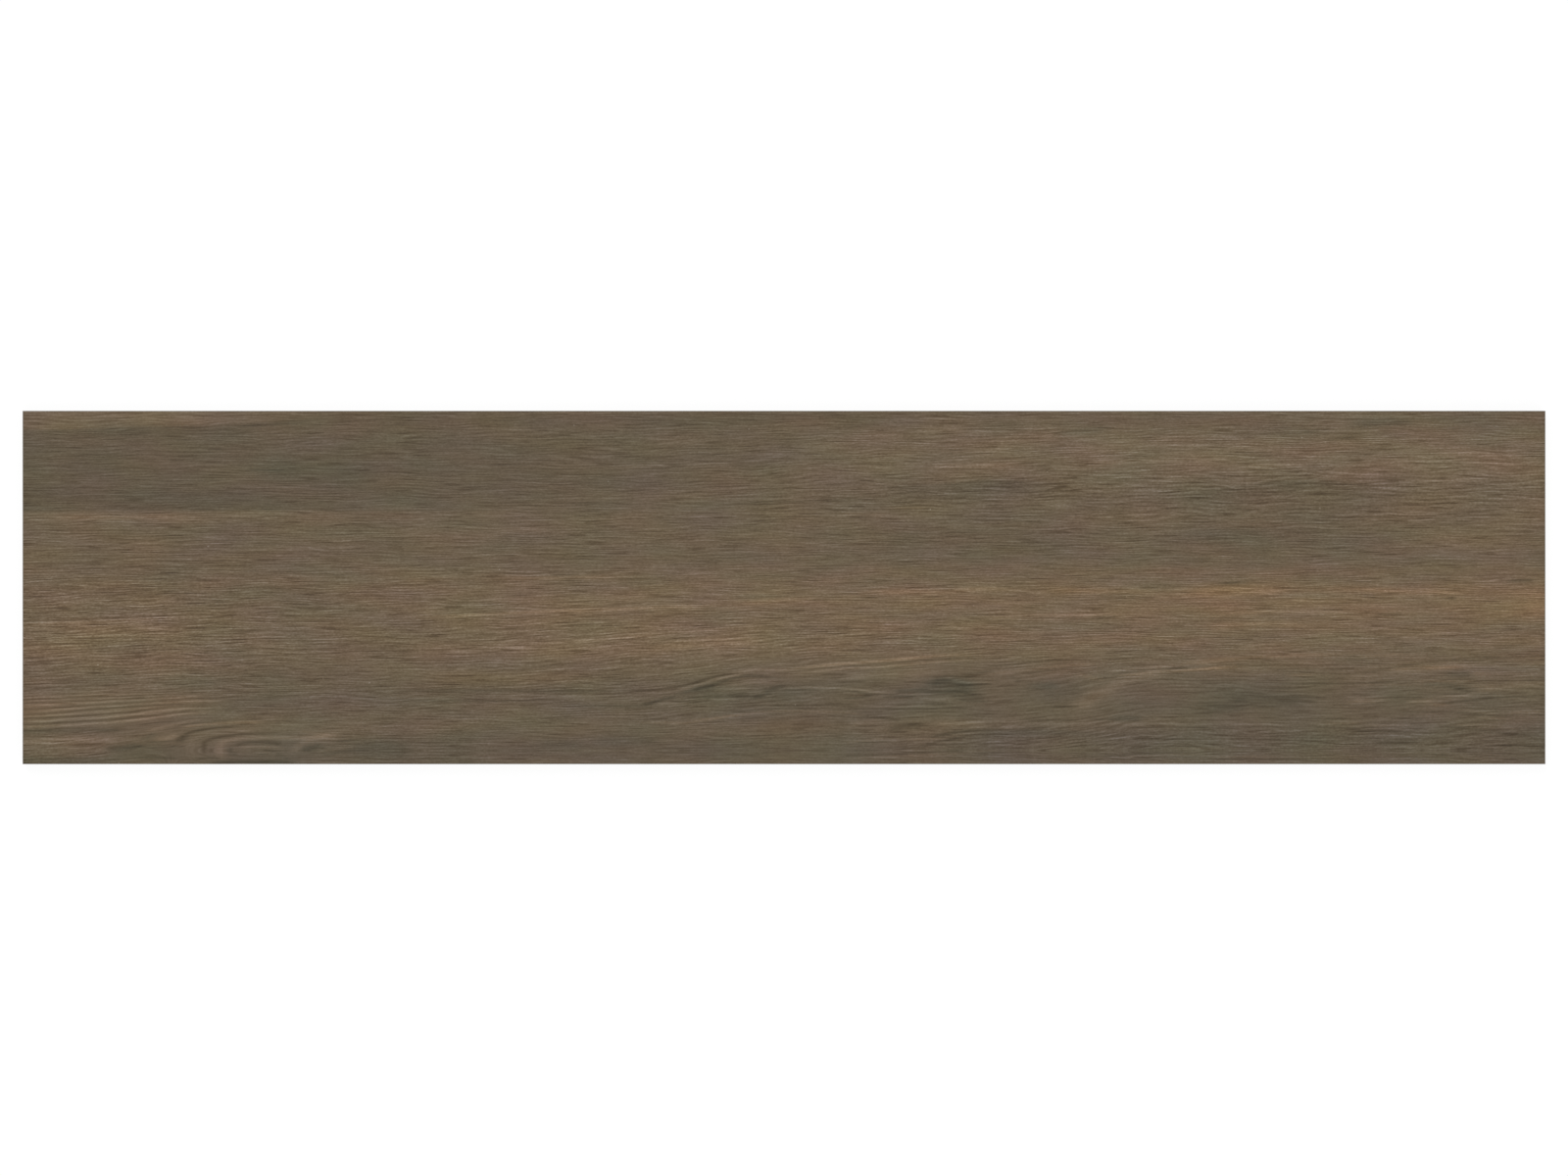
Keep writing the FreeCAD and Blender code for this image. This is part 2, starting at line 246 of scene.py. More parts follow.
# Curved streaks, which may run steeply or turn back: half width in pixels, levels, warmth, then x and y.
CURVES = (
    # straight growth rings at the lower left
    (1, 9, 2, -40, 715.5, 30, 712.2, 60, 710.6, 90, 709.6, 130, 708.6, 165, 707.5),
    (1, 11.7, 2, -40, 719.5, 30, 715.9, 60, 714.2, 90, 713.2, 130, 711.5, 180, 709.8),
    (1.2, 13.5, 3, -40, 724, 30, 720.4, 60, 718, 90, 717, 130, 714.6, 180, 712.2, 205, 709.6),
    (1.2, 13.5, 3, -40, 730, 30, 726.2, 60, 724.4, 90, 721.8, 130, 719.2, 165, 717, 190, 715.6, 225, 715),
    (1.2, 10.8, 3, -40, 734, 30, 730.7, 60, 729.5, 90, 727.2, 130, 724, 165, 720.8),
    (1.3, 13.5, 3, -40, 740, 30, 736.4, 60, 734.2, 90, 733, 130, 730, 150, 727.2, 180, 723.8, 225, 721.8),
    (1.3, 14.4, 4, -40, 744.5, 30, 741.7, 60, 740.2, 90, 738.9, 130, 735.6, 150, 733.3, 180, 729.4,
     225, 725.6),
    (0.8, -11.7, -1, -40, 717.5, 30, 714.1, 60, 712.5, 90, 711.3, 145, 709.4),
    (0.8, -12.6, -1, -40, 721.5, 30, 717.8, 60, 716, 90, 714.7, 120, 713.2, 165, 711.6),
    (0.9, -15.3, -1, -40, 728, 30, 723.9, 60, 721.9, 90, 719.7, 130, 717.1, 150, 716.1, 195, 713.4),
    (0.9, -14.4, -1, -40, 732, 30, 728.8, 60, 727.2, 90, 724.4, 130, 721.4, 150, 720, 190, 717.6),
    (0.9, -12.6, -1, -40, 736, 30, 733, 60, 731.9, 90, 729.9, 130, 726.8, 150, 724, 180, 721, 220, 719.6),
    (0.9, -13.5, -1, -40, 742, 30, 739.3, 60, 737.6, 90, 736, 130, 732.9, 150, 731, 180, 726.8, 220, 723.6),
    (0.9, -9.9, -1, -40, 748, 30, 745.7, 60, 743.8, 90, 742.6),
    (0.9, -11.7, -2, 143, 739.8, 160, 737.6, 178, 736.4),
    (1.3, 9.9, 3, 150, 746, 165, 742, 180, 739, 205, 733.5),
    # growth rings round the eye
    (0.9, -11, -1, 178, 742.4, 190, 738.8, 206, 737.2, 215, 736.4, 228, 735.4, 242, 735),
    (1.3, 10, 6, 186, 742.5, 195, 741, 206, 739.4, 220, 738.4, 235, 737.4, 250, 737, 268, 737),
    (1.2, -21, -2, 180, 757, 186, 751, 193, 748, 199, 746.3, 206, 744.8, 215, 743.4, 225, 742.3,
     248, 740.8),
    (2, 7, 1, 196, 774, 194, 761, 198, 753, 210, 748.6, 222, 747.2, 235, 746.3, 248, 745, 262, 744),
    (1.2, -19, -2, 209, 770, 208, 760, 213, 755, 220, 753, 228, 751.4, 238, 750.2, 250, 748.8, 284, 748.6),
    (2.1, 13, 5, 227, 776, 224, 766, 227, 758, 236, 755, 248, 753.4, 262, 752.8, 300, 753, 320, 752,
     342, 750),
    (1.4, -15, -2, 240, 761, 246, 758.8, 254, 757.6, 266, 757.4, 280, 758.4, 288, 760),
    (1.3, -13, -5, 234, 763, 236, 767, 239, 771),
    (1.5, 12, 4, 246, 762.5, 265, 762, 286, 763),
    (0.8, -18, -3, 268, 765.6, 276, 766, 284, 767.3),
    (0.8, 12, 1, 258, 768.4, 270, 768.2, 283, 768.8),
    (0.7, -12, -3, 262, 770, 275, 769.8),
    (1, -8, -3, 281, 768.5, 288, 772, 296, 775),
    (0.9, -14, -3, 200, 775, 212, 773.4, 226, 774),
    (1.9, -20, -6, 216, 777.5, 250, 777.8, 300, 777.5),
    (2.1, 11, 4, 300, 768, 306, 760, 318, 754.5),
    (2.4, -12, -5, 309, 766, 318, 763, 328, 760),
    (1, 4, 3, 306, 745.8, 318, 747.8, 335, 749.2),
    (0.9, 9, 1, 286, 738.6, 300, 739.6, 314, 740),
    (1, -10, -3, 342, 757, 355, 756, 368, 755),
    (1.1, 8, 2, 325, 767, 340, 764.5, 358, 762),
    (1.3, -9, -3, 330, 771, 350, 767, 372, 765),
    # left of the eye
    (2.3, 12, 4, 160, 755, 170, 753.4, 182, 750),
    (1.9, -11, -4, 183, 757.6, 187, 753.6, 191, 750.4),
    (2, -9, -4, 147, 755.6, 152, 752, 159, 748.6),
    (3, -11, -5, 112, 763.4, 128, 763, 143, 760),
    (1.3, -12, -4, 98, 745.5, 110, 744.8, 121, 745),
    (0.9, -12, -4, 150, 757.6, 163, 757, 178, 756),
    (0.8, -11, -3, 140, 761.5, 150, 762.5, 160, 763.4),
    (0.9, 10, 0, 146, 765.4, 156, 765.2),
    (0.9, -12, -3, 174, 761.8, 191, 761.6),
    (1, -12, -3, 138, 773.5, 160, 773, 180, 774),
    # where the warm heart meets the dark foot
    (1.1, -22, -2, 640, 706, 660, 704.4, 680, 702.4, 700, 699, 713, 695.4, 725, 691.8, 737, 688.8,
     752, 686.8),
    (1, 15, 3, 690, 704.4, 702, 701.4, 713, 698.3, 723, 695.4, 735, 692.4, 748, 689.8, 762, 688),
    (1.5, -15, -5, 692, 708.5, 705, 705, 723, 700, 733, 696.7, 743, 693.3, 753, 691, 765, 690, 800, 692.5),
    (2.4, -11, -4, 708, 704, 718, 702, 730, 700.5),
    (2.6, 10, 2, 728, 706, 745, 704, 765, 703),
    (1.2, 10, 2, 745, 699, 770, 696.5, 795, 696.5),
    (1, -18, -3, 698, 711.8, 740, 711, 778, 710.5),
    (1.5, -20, -5, 655, 719.5, 665, 717.2, 676, 713.8, 690, 711),
    (1.2, 18, 2, 724, 713.8, 738, 713.3, 752, 713.8),
    (1.6, -14, -5, 768, 713, 782, 708, 787, 703.5, 799, 699),
    (1.2, 12, 2, 778, 711.5, 789, 708.5),
    (1, 20, 3, 800, 702.5, 837, 701.3, 870, 703.3, 890, 705.3),
    (1.1, -14, -4, 866, 704.8, 878, 706.8, 888, 708.8),
    (1, -14, -4, 864, 712.6, 878, 711.8, 888, 709.8),
    (0.9, -14, -2, 756, 688.8, 768, 688.4, 782, 689),
    (0.8, -16, -2, 742, 709.7, 750, 709.6, 759, 709.4),
    (0.9, 11, 2, 750, 702.4, 762, 702.4, 772, 702.8),
    (0.8, 11, 2, 764, 706.6, 776, 706.4, 786, 706.6),
    (0.9, -15, -2, 688, 716.2, 702, 716, 714, 716.4),
    (0.9, 11, 2, 668, 718, 684, 717.6, 702, 717.8),
    (0.8, -14, -3, 800, 704, 818, 703.8, 836, 704),
    (0.9, 11, 2, 802, 711.2, 818, 711, 838, 711.6),
    (1, -16, -1, 854, 696.6, 868, 695.6, 882, 696),
    (1.3, 11, 2, 858, 692.6, 870, 691.8, 886, 691.4),
    (0.9, -14, -1, 838, 688.4, 852, 688, 866, 688.6),
    (0.9, 15, 2, 886, 706, 900, 706.6, 918, 707.4),
    (0.8, -12, -2, 888, 708.4, 903, 708.7, 914, 709),
    (1, -16, -2, 745, 719.6, 815, 719.8, 880, 719),
    # the long oval under it
    (1, 9, 4, 700, 734.5, 730, 733, 747, 730, 772, 727.5, 797, 725.5, 830, 726, 866, 727.5, 884, 731),
    (1, -10, -2, 745, 727, 772, 724.3, 800, 722.7, 832, 723.2),
    (2.5, 8, 3, 868, 740, 880, 737.5, 900, 735),
    (8, -3, 2, 770, 742, 820, 741, 868, 742),
    (1.3, 9, 3, 862, 757.5, 880, 756, 902, 753.3),
    # the dark knot and what lies round it
    (3.2, -7, -5, 950, 699.5, 958, 695, 970, 693.5, 981, 697, 991, 700.5),
    (1.1, -13, -4, 950, 694.6, 960, 694, 971, 694.6),
    (1.2, -17, -4, 948, 698, 962, 697.4, 980, 698.4, 991, 699.4),
    (1, -10, -3, 956, 701, 972, 700.6, 988, 702),
    (0.9, -22, -2, 952, 691.6, 966, 690, 980, 690.4, 998, 690.4),
    (0.8, -26, -3, 990, 698.2, 1009, 698),
    (0.8, 14, 2, 988, 696.6, 1000, 696.4, 1011, 696.4),
    (0.8, 16, 1, 966, 690.8, 975, 694.2, 985, 696.2, 993, 696.9),
    (1.2, -12, -5, 913, 705, 926, 704, 946, 703.6),
    (1, -11, -4, 911, 709.8, 921, 710.4, 932, 710.2),
    (0.8, 10, 2, 926, 708.6, 938, 708.2, 950, 708.4),
    (1, -13, -2, 944, 718.2, 955, 718.2, 967, 718),
    (2.6, -7, -3, 966, 705.4, 980, 704.6, 990, 704),
    (1.2, -17, -4, 908, 708, 927, 706, 947, 706, 963, 706.4, 976, 705.4, 990, 708, 1004, 711),
    (1.1, -14, -4, 968, 709.4, 986, 711, 1006, 713.4),
    (1.2, -11, -4, 978, 713.6, 992, 715, 1008, 716.2),
    (2.4, 12, 2, 941, 713.5, 958, 713.5, 974, 714),
    (1, -22, -3, 1076, 721.3, 1098, 720.8),
    (0.9, -17, -2, 1056, 735, 1104, 735),
    (4.2, 8, 3, 955, 740, 970, 738, 985, 738, 1003, 739.5),
    (0.8, 11, 3, 885, 721.4, 920, 721, 956, 720.8),
    (1.3, -11, -1, 928, 739.8, 936, 738.8, 946, 740.8),
    (0.9, -11, -2, 876, 758, 890, 757.2, 907, 756.6),
    (0.9, -11, -2, 900, 764.6, 930, 761.8, 958, 760.2, 990, 758.4),
    (0.8, -11, -2, 992, 768.6, 1020, 768.2),
    (1.5, -17, -4, 951, 752, 968, 748.5, 985, 746, 1012, 744.3),
    (3.4, -16, -3, 908, 746, 922, 741.5, 942, 741),
    (1.1, -17, -2, 878, 731, 900, 732.5, 919, 735),
    (1, -17, -3, 944, 760, 966, 755.3, 983, 752.3),
    (1, 11, 3, 928, 754.5, 957, 753.5),
    # the light limb, and the edge of the heart to its right
    (4.5, 10, 4, 1097, 724, 1113, 712, 1128, 705, 1142, 697, 1160, 690, 1190, 685.5),
    (1.2, 13, 3, 1128, 686, 1160, 682, 1200, 679, 1240, 676),
    (0.9, -10, -2, 1140, 687.5, 1175, 684, 1215, 681),
    (1, -14, -2, 1214, 720.5, 1260, 719.8),
    (1, -14, -2, 1218, 727.3, 1262, 727),
    (0.9, -14, -2, 1282, 711, 1340, 711.5),
    (0.9, -14, -2, 1302, 716, 1336, 715.5),
    (0.9, -16, -3, 1295, 698, 1340, 697.5, 1380, 697.3, 1425, 695.5),
    # fine lines of the foot
    (1.2, 8, 3, 1006, 687, 1032, 687),
    (1.6, 8, 4, 1100, 688, 1112, 691, 1124, 694.5),
    (1.2, -9, -3, 1028, 690, 1036, 692.5, 1042, 696),
    (1.1, 9, 3, 985, 766, 1020, 766),
    (1.1, 12, 4, 1138, 688.7, 1158, 688, 1175, 685.3, 1193, 684, 1217, 683.3, 1233, 682, 1252, 679.5),
    (1.4, -14, -3, 1260, 713.5, 1274, 719.5),
    (1, -13, -2, 1284, 721, 1304, 721),
    (1.2, -14, -3, 1112, 734, 1140, 734),
    (1, -12, -2, 1180, 742, 1290, 742),
    (1, -12, -2, 1160, 754, 1310, 754),
    (1, 12, 3, 1200, 763.6, 1268, 763.6),
    (0.8, -13, -2, 1192, 762, 1240, 762),
    (1, 10, 3, 1080, 772.5, 1230, 772.3, 1390, 772.5),
    (0.9, -13, -2, 1080, 774.6, 1230, 774.4, 1390, 774.6),
    # the right end
    (1.2, 13, 3, 1386, 670.3, 1430, 667.7),
    (1.1, 12, 4, 1418, 683.3, 1442, 682.7),
    (1, -16, -2, 1556, 694, 1577, 694),
    (1, 13, 4, 1446, 695, 1510, 695),
    (0.9, -16, -2, 1466, 708.5, 1492, 708.5),
    (1.2, 9, 4, 1376, 716, 1404, 716),
    (0.9, -12, -2, 1424, 711.6, 1452, 711.4),
    (1.6, 4, 6, 1458, 719, 1478, 719),
    (1, 10, 3, 1396, 740, 1440, 740),
    (1, -16, -2, 1530, 760.5, 1577, 760.5),
    (0.9, 9, 3, 1390, 698.7, 1452, 698.7),
    (1.6, 6, 6, 1452, 681, 1470, 681.5, 1490, 680.5),
    (3.4, -9, -4, 1478, 688, 1503, 688),
    (3, 9, 4, 1504, 687.5, 1519, 687),
    (0.9, -16, -2, 1503, 694.5, 1546, 694.3),
    (2.4, -7, -4, 1455, 698, 1475, 699, 1497, 704),
    (4, 8, 4, 1504, 702, 1528, 701),
    (0.8, 15, 3, 1466, 710.4, 1485, 710, 1500, 709.6),
    (1, -18, -3, 1465, 719, 1477, 717.5, 1490, 716, 1505, 714, 1518, 712.5, 1538, 711.2, 1572, 711.2),
    (1.8, 9, 4, 1437, 716, 1463, 715),
    (0.9, -23, -2, 1405, 758, 1428, 757.8, 1450, 757.5),
    (0.9, -13, -2, 1340, 733.5, 1375, 733.4),
    (0.9, -13, -2, 1377, 746.5, 1433, 746.5),
    (1, 13, 4, 1543, 727, 1572, 726.5),
    (1.1, 8, 3, 1488, 724, 1505, 726, 1524, 728.7),
    (0.9, -12, -1, 1216, 694.6, 1236, 694.4, 1262, 694.2),
    (0.8, -9, -2, 1294, 702.4, 1324, 702.2),
    (0.8, -10, -2, 1320, 711.4, 1353, 712),
    (0.8, -12, -2, 1224, 717.4, 1236, 716.8, 1250, 716.4),
    (0.8, -10, -2, 1146, 717.8, 1186, 717.5),
    (1.6, 6, 5, 1316, 689, 1346, 688.4),
    (0.8, -15, -2, 1470, 693.8, 1486, 693.4, 1505, 693.4),
    (1, -13, -3, 1482, 701.4, 1490, 703.4, 1498, 706),
    (0.8, -12, -2, 1488, 708.2, 1524, 708.4),
    (0.8, 10, 2, 1533, 713.2, 1570, 712.8),
    (0.9, -15, -2, 1430, 727, 1450, 726.8, 1472, 726.4, 1490, 727),
    (0.8, 11, 2, 1448, 728.6, 1468, 728.4),
    (0.9, -12, -2, 1488, 726.8, 1508, 728.6, 1532, 730.4, 1546, 730.2),
    (0.9, 11, 3, 1506, 732, 1520, 732.6, 1536, 733),
    (0.9, -12, -2, 1418, 733, 1454, 733),
    (0.8, -10, -2, 1508, 734.8, 1534, 735),
    # long fine lines along the bottom edge and between the knots
    (1, -13, -2, 860, 771, 905, 770, 950, 767.5, 1000, 765),
    (1, 9, 3, 865, 773.6, 930, 771, 1000, 768),
    (0.9, -12, -2, 866, 766, 905, 765.5),
    (0.9, -12, -2, 860, 722.6, 905, 723.2, 952, 722.8, 990, 721.8),
    (0.9, -12, -3, 900, 711.4, 932, 711),
    (1, -12, -2, 1002, 681.5, 1030, 678, 1060, 675, 1100, 672),
    (1.1, 10, 3, 1020, 686, 1048, 683.5, 1080, 680, 1120, 677),
    (1, -11, -2, 1050, 688, 1072, 683.5, 1100, 680.5),
    (0.9, -12, -2, 1040, 733.8, 1058, 735),
    (0.9, -10, -2, 1040, 743, 1110, 742.4, 1180, 742),
    (0.9, -13, -2, 1090, 773, 1120, 772, 1155, 770, 1210, 767),
    (0.9, 9, 3, 1150, 772, 1190, 770.4, 1240, 770),
    (0.9, -11, -2, 1340, 741.5, 1370, 743, 1400, 745.5, 1435, 747),
    (1, 9, 3, 1345, 738.4, 1390, 737.4),
    (1, -12, -2, 1470, 741, 1500, 744, 1530, 748, 1577, 751),
    (0.9, 8, 3, 1480, 738.5, 1520, 741.5, 1550, 744),
)
# A curved streak is wider where it runs across the plank, by this much. It is drawn in so many steps from
# point to point, and out to so many half widths. At its ends it fades to a little less than this share of
# its strength, within that share of its length.
CURVE_STRETCH = 2.3
CURVE_STEPS = 14
CURVE_MARGIN = 4.0
CURVE_START = 0.3
CURVE_FADE = 0.15

# How hard the edges of broad streaks and zones are, and those of fine and curved streaks.
BROAD_EDGE = 4.0
FINE_EDGE = 2.5
# A cool streak is greenish, by this many levels of green for each level that it is cooler.
BROAD_GREEN = 0.05
COOL_GREEN = 0.25
# Noise that moves streaks up and down: length and width in pixels and seed, then by how many pixels.
WANDER = (120.0, 9.0, 11)
BROAD_WANDER_PX = 1.3
FINE_WANDER_PX = 0.52
# Noise that makes streaks uneven along the grain, and by what share of their levels.
UNEVEN = (170.0, 4.0, 13)
BROAD_UNEVEN = 0.15
FINE_UNEVEN = 0.1
CURVE_DASHES = (15.0, 2.2, 15)
CURVE_UNEVEN = 0.3
# The noise repeats after so many streaks, and is brought to a range of about -1 to 1.
NOISE_PERIOD = 256
NOISE_GAIN = 1.4

# Where the grain rises to the right: centre, reach along, above and below in pixels, and rise per pixel.
GRAIN_SWEEPS = (
    ((220, 430), (230, 30, 30), 0.018),
    ((120, 636), (150, 40, 40), 0.020),
    ((560, 628), (180, 36, 60), 0.026),
    ((780, 665), (200, 60, 80), 0.060),
    ((715, 700), (60, 30, 60), 0.060),
    ((900, 680), (120, 30, 50), 0.026),
    ((1055, 684), (45, 30, 50), 0.050),
    ((1128, 708), (40, 30, 50), 0.130),
    ((1260, 676), (120, 30, 50), 0.028),
    ((1410, 686), (60, 30, 50), 0.050),
    ((1490, 708), (80, 30, 50), 0.060),
    ((760, 480), (120, 40, 40), 0.045),
    ((1110, 470), (110, 40, 40), 0.040),
    ((1380, 452), (70, 30, 30), 0.040),
)
# Up and down from this line, in pixels, the rise changes by at most this much per pixel.
STILL_LINE_PX = 570.0
SWEEP_STRETCH = 0.3

# The eye bends the grain round the left end of its middle line, here in pixels. Further left, the grain is
# pushed out by up to this rise, over this reach, with this bend.
EYE_END_PX = (230.0, 766.0)
EYE_RISE_PX = 32.0
EYE_REACH_PX = 110.0
EYE_BEND = 1.3
# From the second of these pixels to the first, the rings give way to grain that runs straight wherever it
# lies less than so many pixels above the middle line, with its fibres packed this densely.
EYE_LEFT_PX = (150.0, 195.0)
EYE_STRAIGHT_PX = 26.0
EYE_STRAIGHT_SLOPE = 0.8

# Layers of the printed grain: streak length and width, how far the layer is moved so that no two agree, and
# strength in levels. Fibres are crisp lines, both lighter and darker. Pores and threads are rare ones that
# stand out. Streaks are soft.
FIBRES = (
    (3.5 * MM, 0.85 * MM, 0.0, 3.1),
    (13.0 * MM, 0.88 * MM, 7.3, 3.6),
    (60.0 * MM, 0.85 * MM, 14.6, 3.3),
)
PORES = (22.0 * MM, 0.85 * MM, 61.0, -15.0)
THREADS = (34.0 * MM, 0.85 * MM, 71.0, 5.0)
STREAKS = (
    (1.5 * MM, 0.75 * MM, 83.0, 2.2),
    (90.0 * MM, 1.4 * MM, 90.3, 1.0),
    (160.0 * MM, 3.0 * MM, 97.6, 0.4),
)
# A layer is moved this many times as far across the grain as along it.
SHIFT_ACROSS = 3.7
# The noise that makes a fibre wholly light or dark lies this far from its middle. A pore or a thread starts
# and is full at these.
FIBRE_EDGE = 0.2
DASH_RANGE = (0.64, 0.76)
# The middle of a noise texture, and how far it spreads about that.
NOISE_MIDDLE = 0.5
NOISE_SPREAD = 0.15
# Year lines: fine lines at a nearly even pitch, that waver by this many pitches and fade in and out along the
# grain, between these values of the noise.
LINE_PITCH = 2.0 * MM
LINE_LEVELS = 8.5
LINE_WAVER = (40.0 * MM, 8.0 * MM, 19.1, 0.35)
LINE_FADE = (18.0 * MM, 2.2 * MM, 91.0)
LINE_RANGE = (0.3, 0.7)
# Bundles of fibres this wide start anew along the grain, up to so many streaks further on, so that streaks
# don't line up across the plank.
BUNDLE_WIDTH = 3.1 * MM
BUNDLE_JUMP = 300.0
# Where fibres show more or less than elsewhere: centre and reach in pixels, and by how much.
FIBRE_ZONES = (
    ((235, 768), (120, 34), -0.42),
    ((150, 768), (40, 16), -0.10),
    ((90, 727), (120, 22), -0.38),
    ((890, 682), (170, 14), -0.30),
    ((250, 470), (520, 58), -0.12),
    ((1250, 470), (420, 60), 0.12),
    ((100, 640), (160, 60), 0.30),
    ((900, 630), (900, 48), 0.22),
    ((1180, 716), (460, 26), -0.38),
    ((720, 765), (240, 30), -0.25),
)
# Soft patches that are warmer or greener than the rest: length, width, move, and strength in levels.
WARM_PATCH = (46.0 * MM, 12.0 * MM, 41.3, 1.25)
GREEN_PATCH = (40.0 * MM, 14.0 * MM, 47.9, 1.25)
# Painted glints: rare pale specks in the face's colour that stand for small glints of light. Spacing, the
# same with its move, radius, the share of the radius that is wholly pale, the share of the places that have a
# glint, and levels.
GLINT_SPACING = 16.0 * MM
GLINT_PLACE = (GLINT_SPACING, GLINT_SPACING, 5.0)
GLINT_RADIUS = 0.6 * MM
GLINT_CORE = 0.5
GLINT_SHARE = 0.025
GLINT_LEVELS = 26.0

# All surfaces of the tile: how much they mirror, and how their fine texture stands up.
SPECULAR = 0.35
BUMP_STRENGTH = 0.3
BUMP_HEIGHT = 0.1 * MM
# The face's roughness, and what one level of fibre adds to it and to the texture's height.
FACE_ROUGHNESS = 0.6
FIBRE_ROUGHNESS = 0.006
FIBRE_HEIGHT = 0.05

# The fired body: its colour and that of the kiln wash as linear light, its roughness, what its speckles add
# to that, how strong its marks are, and how much marks and speckles change its shade.
BODY_COLOUR = (0.165, 0.140, 0.110)
WASH_COLOUR = (0.46, 0.44, 0.40)
BODY_ROUGHNESS = 0.72
SPECKLE_ROUGHNESS = 0.2
MARK_STRENGTH = 0.8
SHADE_STRENGTH = 0.9
# Size, detail and roughness of the noise of the speckles, of the clouds of the back and of the wash.
SPECKLE = (1.1 * MM, 3.0, 0.6)
CLOUD = (60.0 * MM, 2.0, 0.5)
WASH_PATCH = (14.0 * MM, 4.0, 0.65)
# The wash's largest share, how much of that is left in a recess, and where a patch starts and is full.
WASH_SHARE = 0.45
WASH_IN_CELL = 0.25
WASH_RANGE = (0.32, 0.62)
# The wheel's lines along an edge: length, width and detail.
GRIND_LENGTH = 45.0 * MM
GRIND_WIDTH = 0.35 * MM
GRIND_DETAIL = 2.0

# Emboss of the face, in register with the grain: length, width and seed of its waves and grooves, and their
# depth. A groove starts at this much noise, and is at its deepest this much further.
WAVES = (70.0 * MM, 6.0 * MM, 21)
WAVE_DEPTH = 0.10 * MM
GROOVES = (26.0 * MM, 2.6 * MM, 22)
GROOVE_DEPTH = 0.16 * MM
GROOVE_FROM = 0.12
GROOVE_SPAN = 0.5

# Where each side lies on the map that its look is kept in: left, right, bottom and top as shares of the map.
# The face gets more of it across the grain than along it.
FACE_AREA = (0.002, 0.998, 0.295, 0.998)
BACK_AREA = (0.002, 0.998, 0.065, 0.285)
FRONT_AREA = (0.002, 0.998, 0.043, 0.057)
REAR_AREA = (0.002, 0.998, 0.023, 0.037)
LEFT_AREA = (0.002, 0.450, 0.003, 0.017)
RIGHT_AREA = (0.500, 0.948, 0.003, 0.017)

# The floor: its side, how far it lies under the tile, and how far inside the tile's edges it is open, out of
# sight. Then its shade and its glow, as the camera sees them and for all other light.
FLOOR_SIDE = 40.0
FLOOR_GAP = 0.05 * MM
FLOOR_LAP = 0.4 * MM
FLOOR_SHADE = (0.12, 0.55)
FLOOR_GLOW = (0.90, 0.0)

# Studio light: the world's strength, and each softbox with its place, side and power.
WORLD_LIGHT = 0.59
SOFTBOXES = (
    ("key_softbox", (-1.2, 2.6, 2.8), 3.0, 67.0),
    ("fill_softbox", (1.4, -2.6, 2.6), 3.0, 48.0),
)
CAMERA_DISTANCE = 3.0
SENSOR_WIDTH = 36.0

# Materials of the mesh, and the corners of a rectangle, anticlockwise from the +X, -Y one.
FACE, EDGE, BACK = range(3)
CORNERS = ((1, -1), (1, 1), (-1, 1), (-1, -1))


def to_px(x, y):
    """Photograph pixels of a place on the face."""
    return TILE_CENTRE_PX[0] + x / PX, TILE_CENTRE_PX[1] - y / PX


def blend(part):
    """The smooth way from 0 to 1 across one cell of the noise."""
    return part**3 * (part * (6.0 * part - 15.0) + 10.0)


def lattice_noise(along, across, length, width, seed):
    """Smooth noise from about -1 to 1, in streaks of the given length and width."""
    turn = np.random.default_rng(seed).uniform(0.0, 2.0 * np.pi, (NOISE_PERIOD, NOISE_PERIOD))
    along, across = along / length, across / width
    cell_a = np.floor(along).astype(int)
    cell_b = np.floor(across).astype(int)
    part_a = along - cell_a
    part_b = across - cell_b

    def corner(step_a, step_b):
        angle = turn[(cell_a + step_a) % NOISE_PERIOD, (cell_b + step_b) % NOISE_PERIOD]
        return np.cos(angle) * (part_a - step_a) + np.sin(angle) * (part_b - step_b)

    near = corner(0, 0) + blend(part_a) * (corner(1, 0) - corner(0, 0))
    far = corner(0, 1) + blend(part_a) * (corner(1, 1) - corner(0, 1))
    return NOISE_GAIN * (near + blend(part_b) * (far - near))


def smooth_step(value):
    """0 below 0, 1 above 1, and an S curve between."""
    held = np.clip(value, 0.0, 1.0)
    return held * held * (3.0 - 2.0 * held)


def reach_share(py, middle, above, below, edge):
    """How strongly a streak shows above and below its middle line, with edges of the given hardness."""
    rise = middle - py
    return np.exp(-np.abs(rise / np.where(rise > 0.0, above, below)) ** edge)


def broad_share(px, py, line, above, below):
    """How strongly a broad streak shows at each place."""
    xs, ys, shares = np.reshape(line, (-1, 3)).T
    return reach_share(py, np.interp(px, xs, ys), above, below, BROAD_EDGE) * np.interp(px, xs, shares)


def fine_share(px, py, line, above, below):
    """How strongly a fine streak shows at each place."""
    xs, ys = np.reshape(line, (-1, 2)).T
    fade = min(FINE_FADE * (xs[-1] - xs[0]), FINE_FADE_PX)
    ends = smooth_step((px - xs[0]) / fade) * smooth_step((xs[-1] - px) / fade)
    return reach_share(py, np.interp(px, xs, ys), above, below, FINE_EDGE) * ends


def curve_through(line):
    """Points along a smooth curve through the given ones."""
    knots = np.reshape(line, (-1, 2)).astype(float)
    ends = np.vstack([2.0 * knots[0] - knots[1], knots, 2.0 * knots[-1] - knots[-2]])
    part = np.linspace(0.0, 1.0, CURVE_STEPS, endpoint=False)[:, None]
    pieces = []
    for before, here, after, beyond in zip(ends, ends[1:], ends[2:], ends[3:]):
        bend = 2.0 * before - 5.0 * here + 4.0 * after - beyond
        twist = 3.0 * here - before - 3.0 * after + beyond
        pieces.append(here + 0.5 * part * (after - before + part * (bend + part * twist)))
    return np.vstack(pieces + [knots[-1:]])


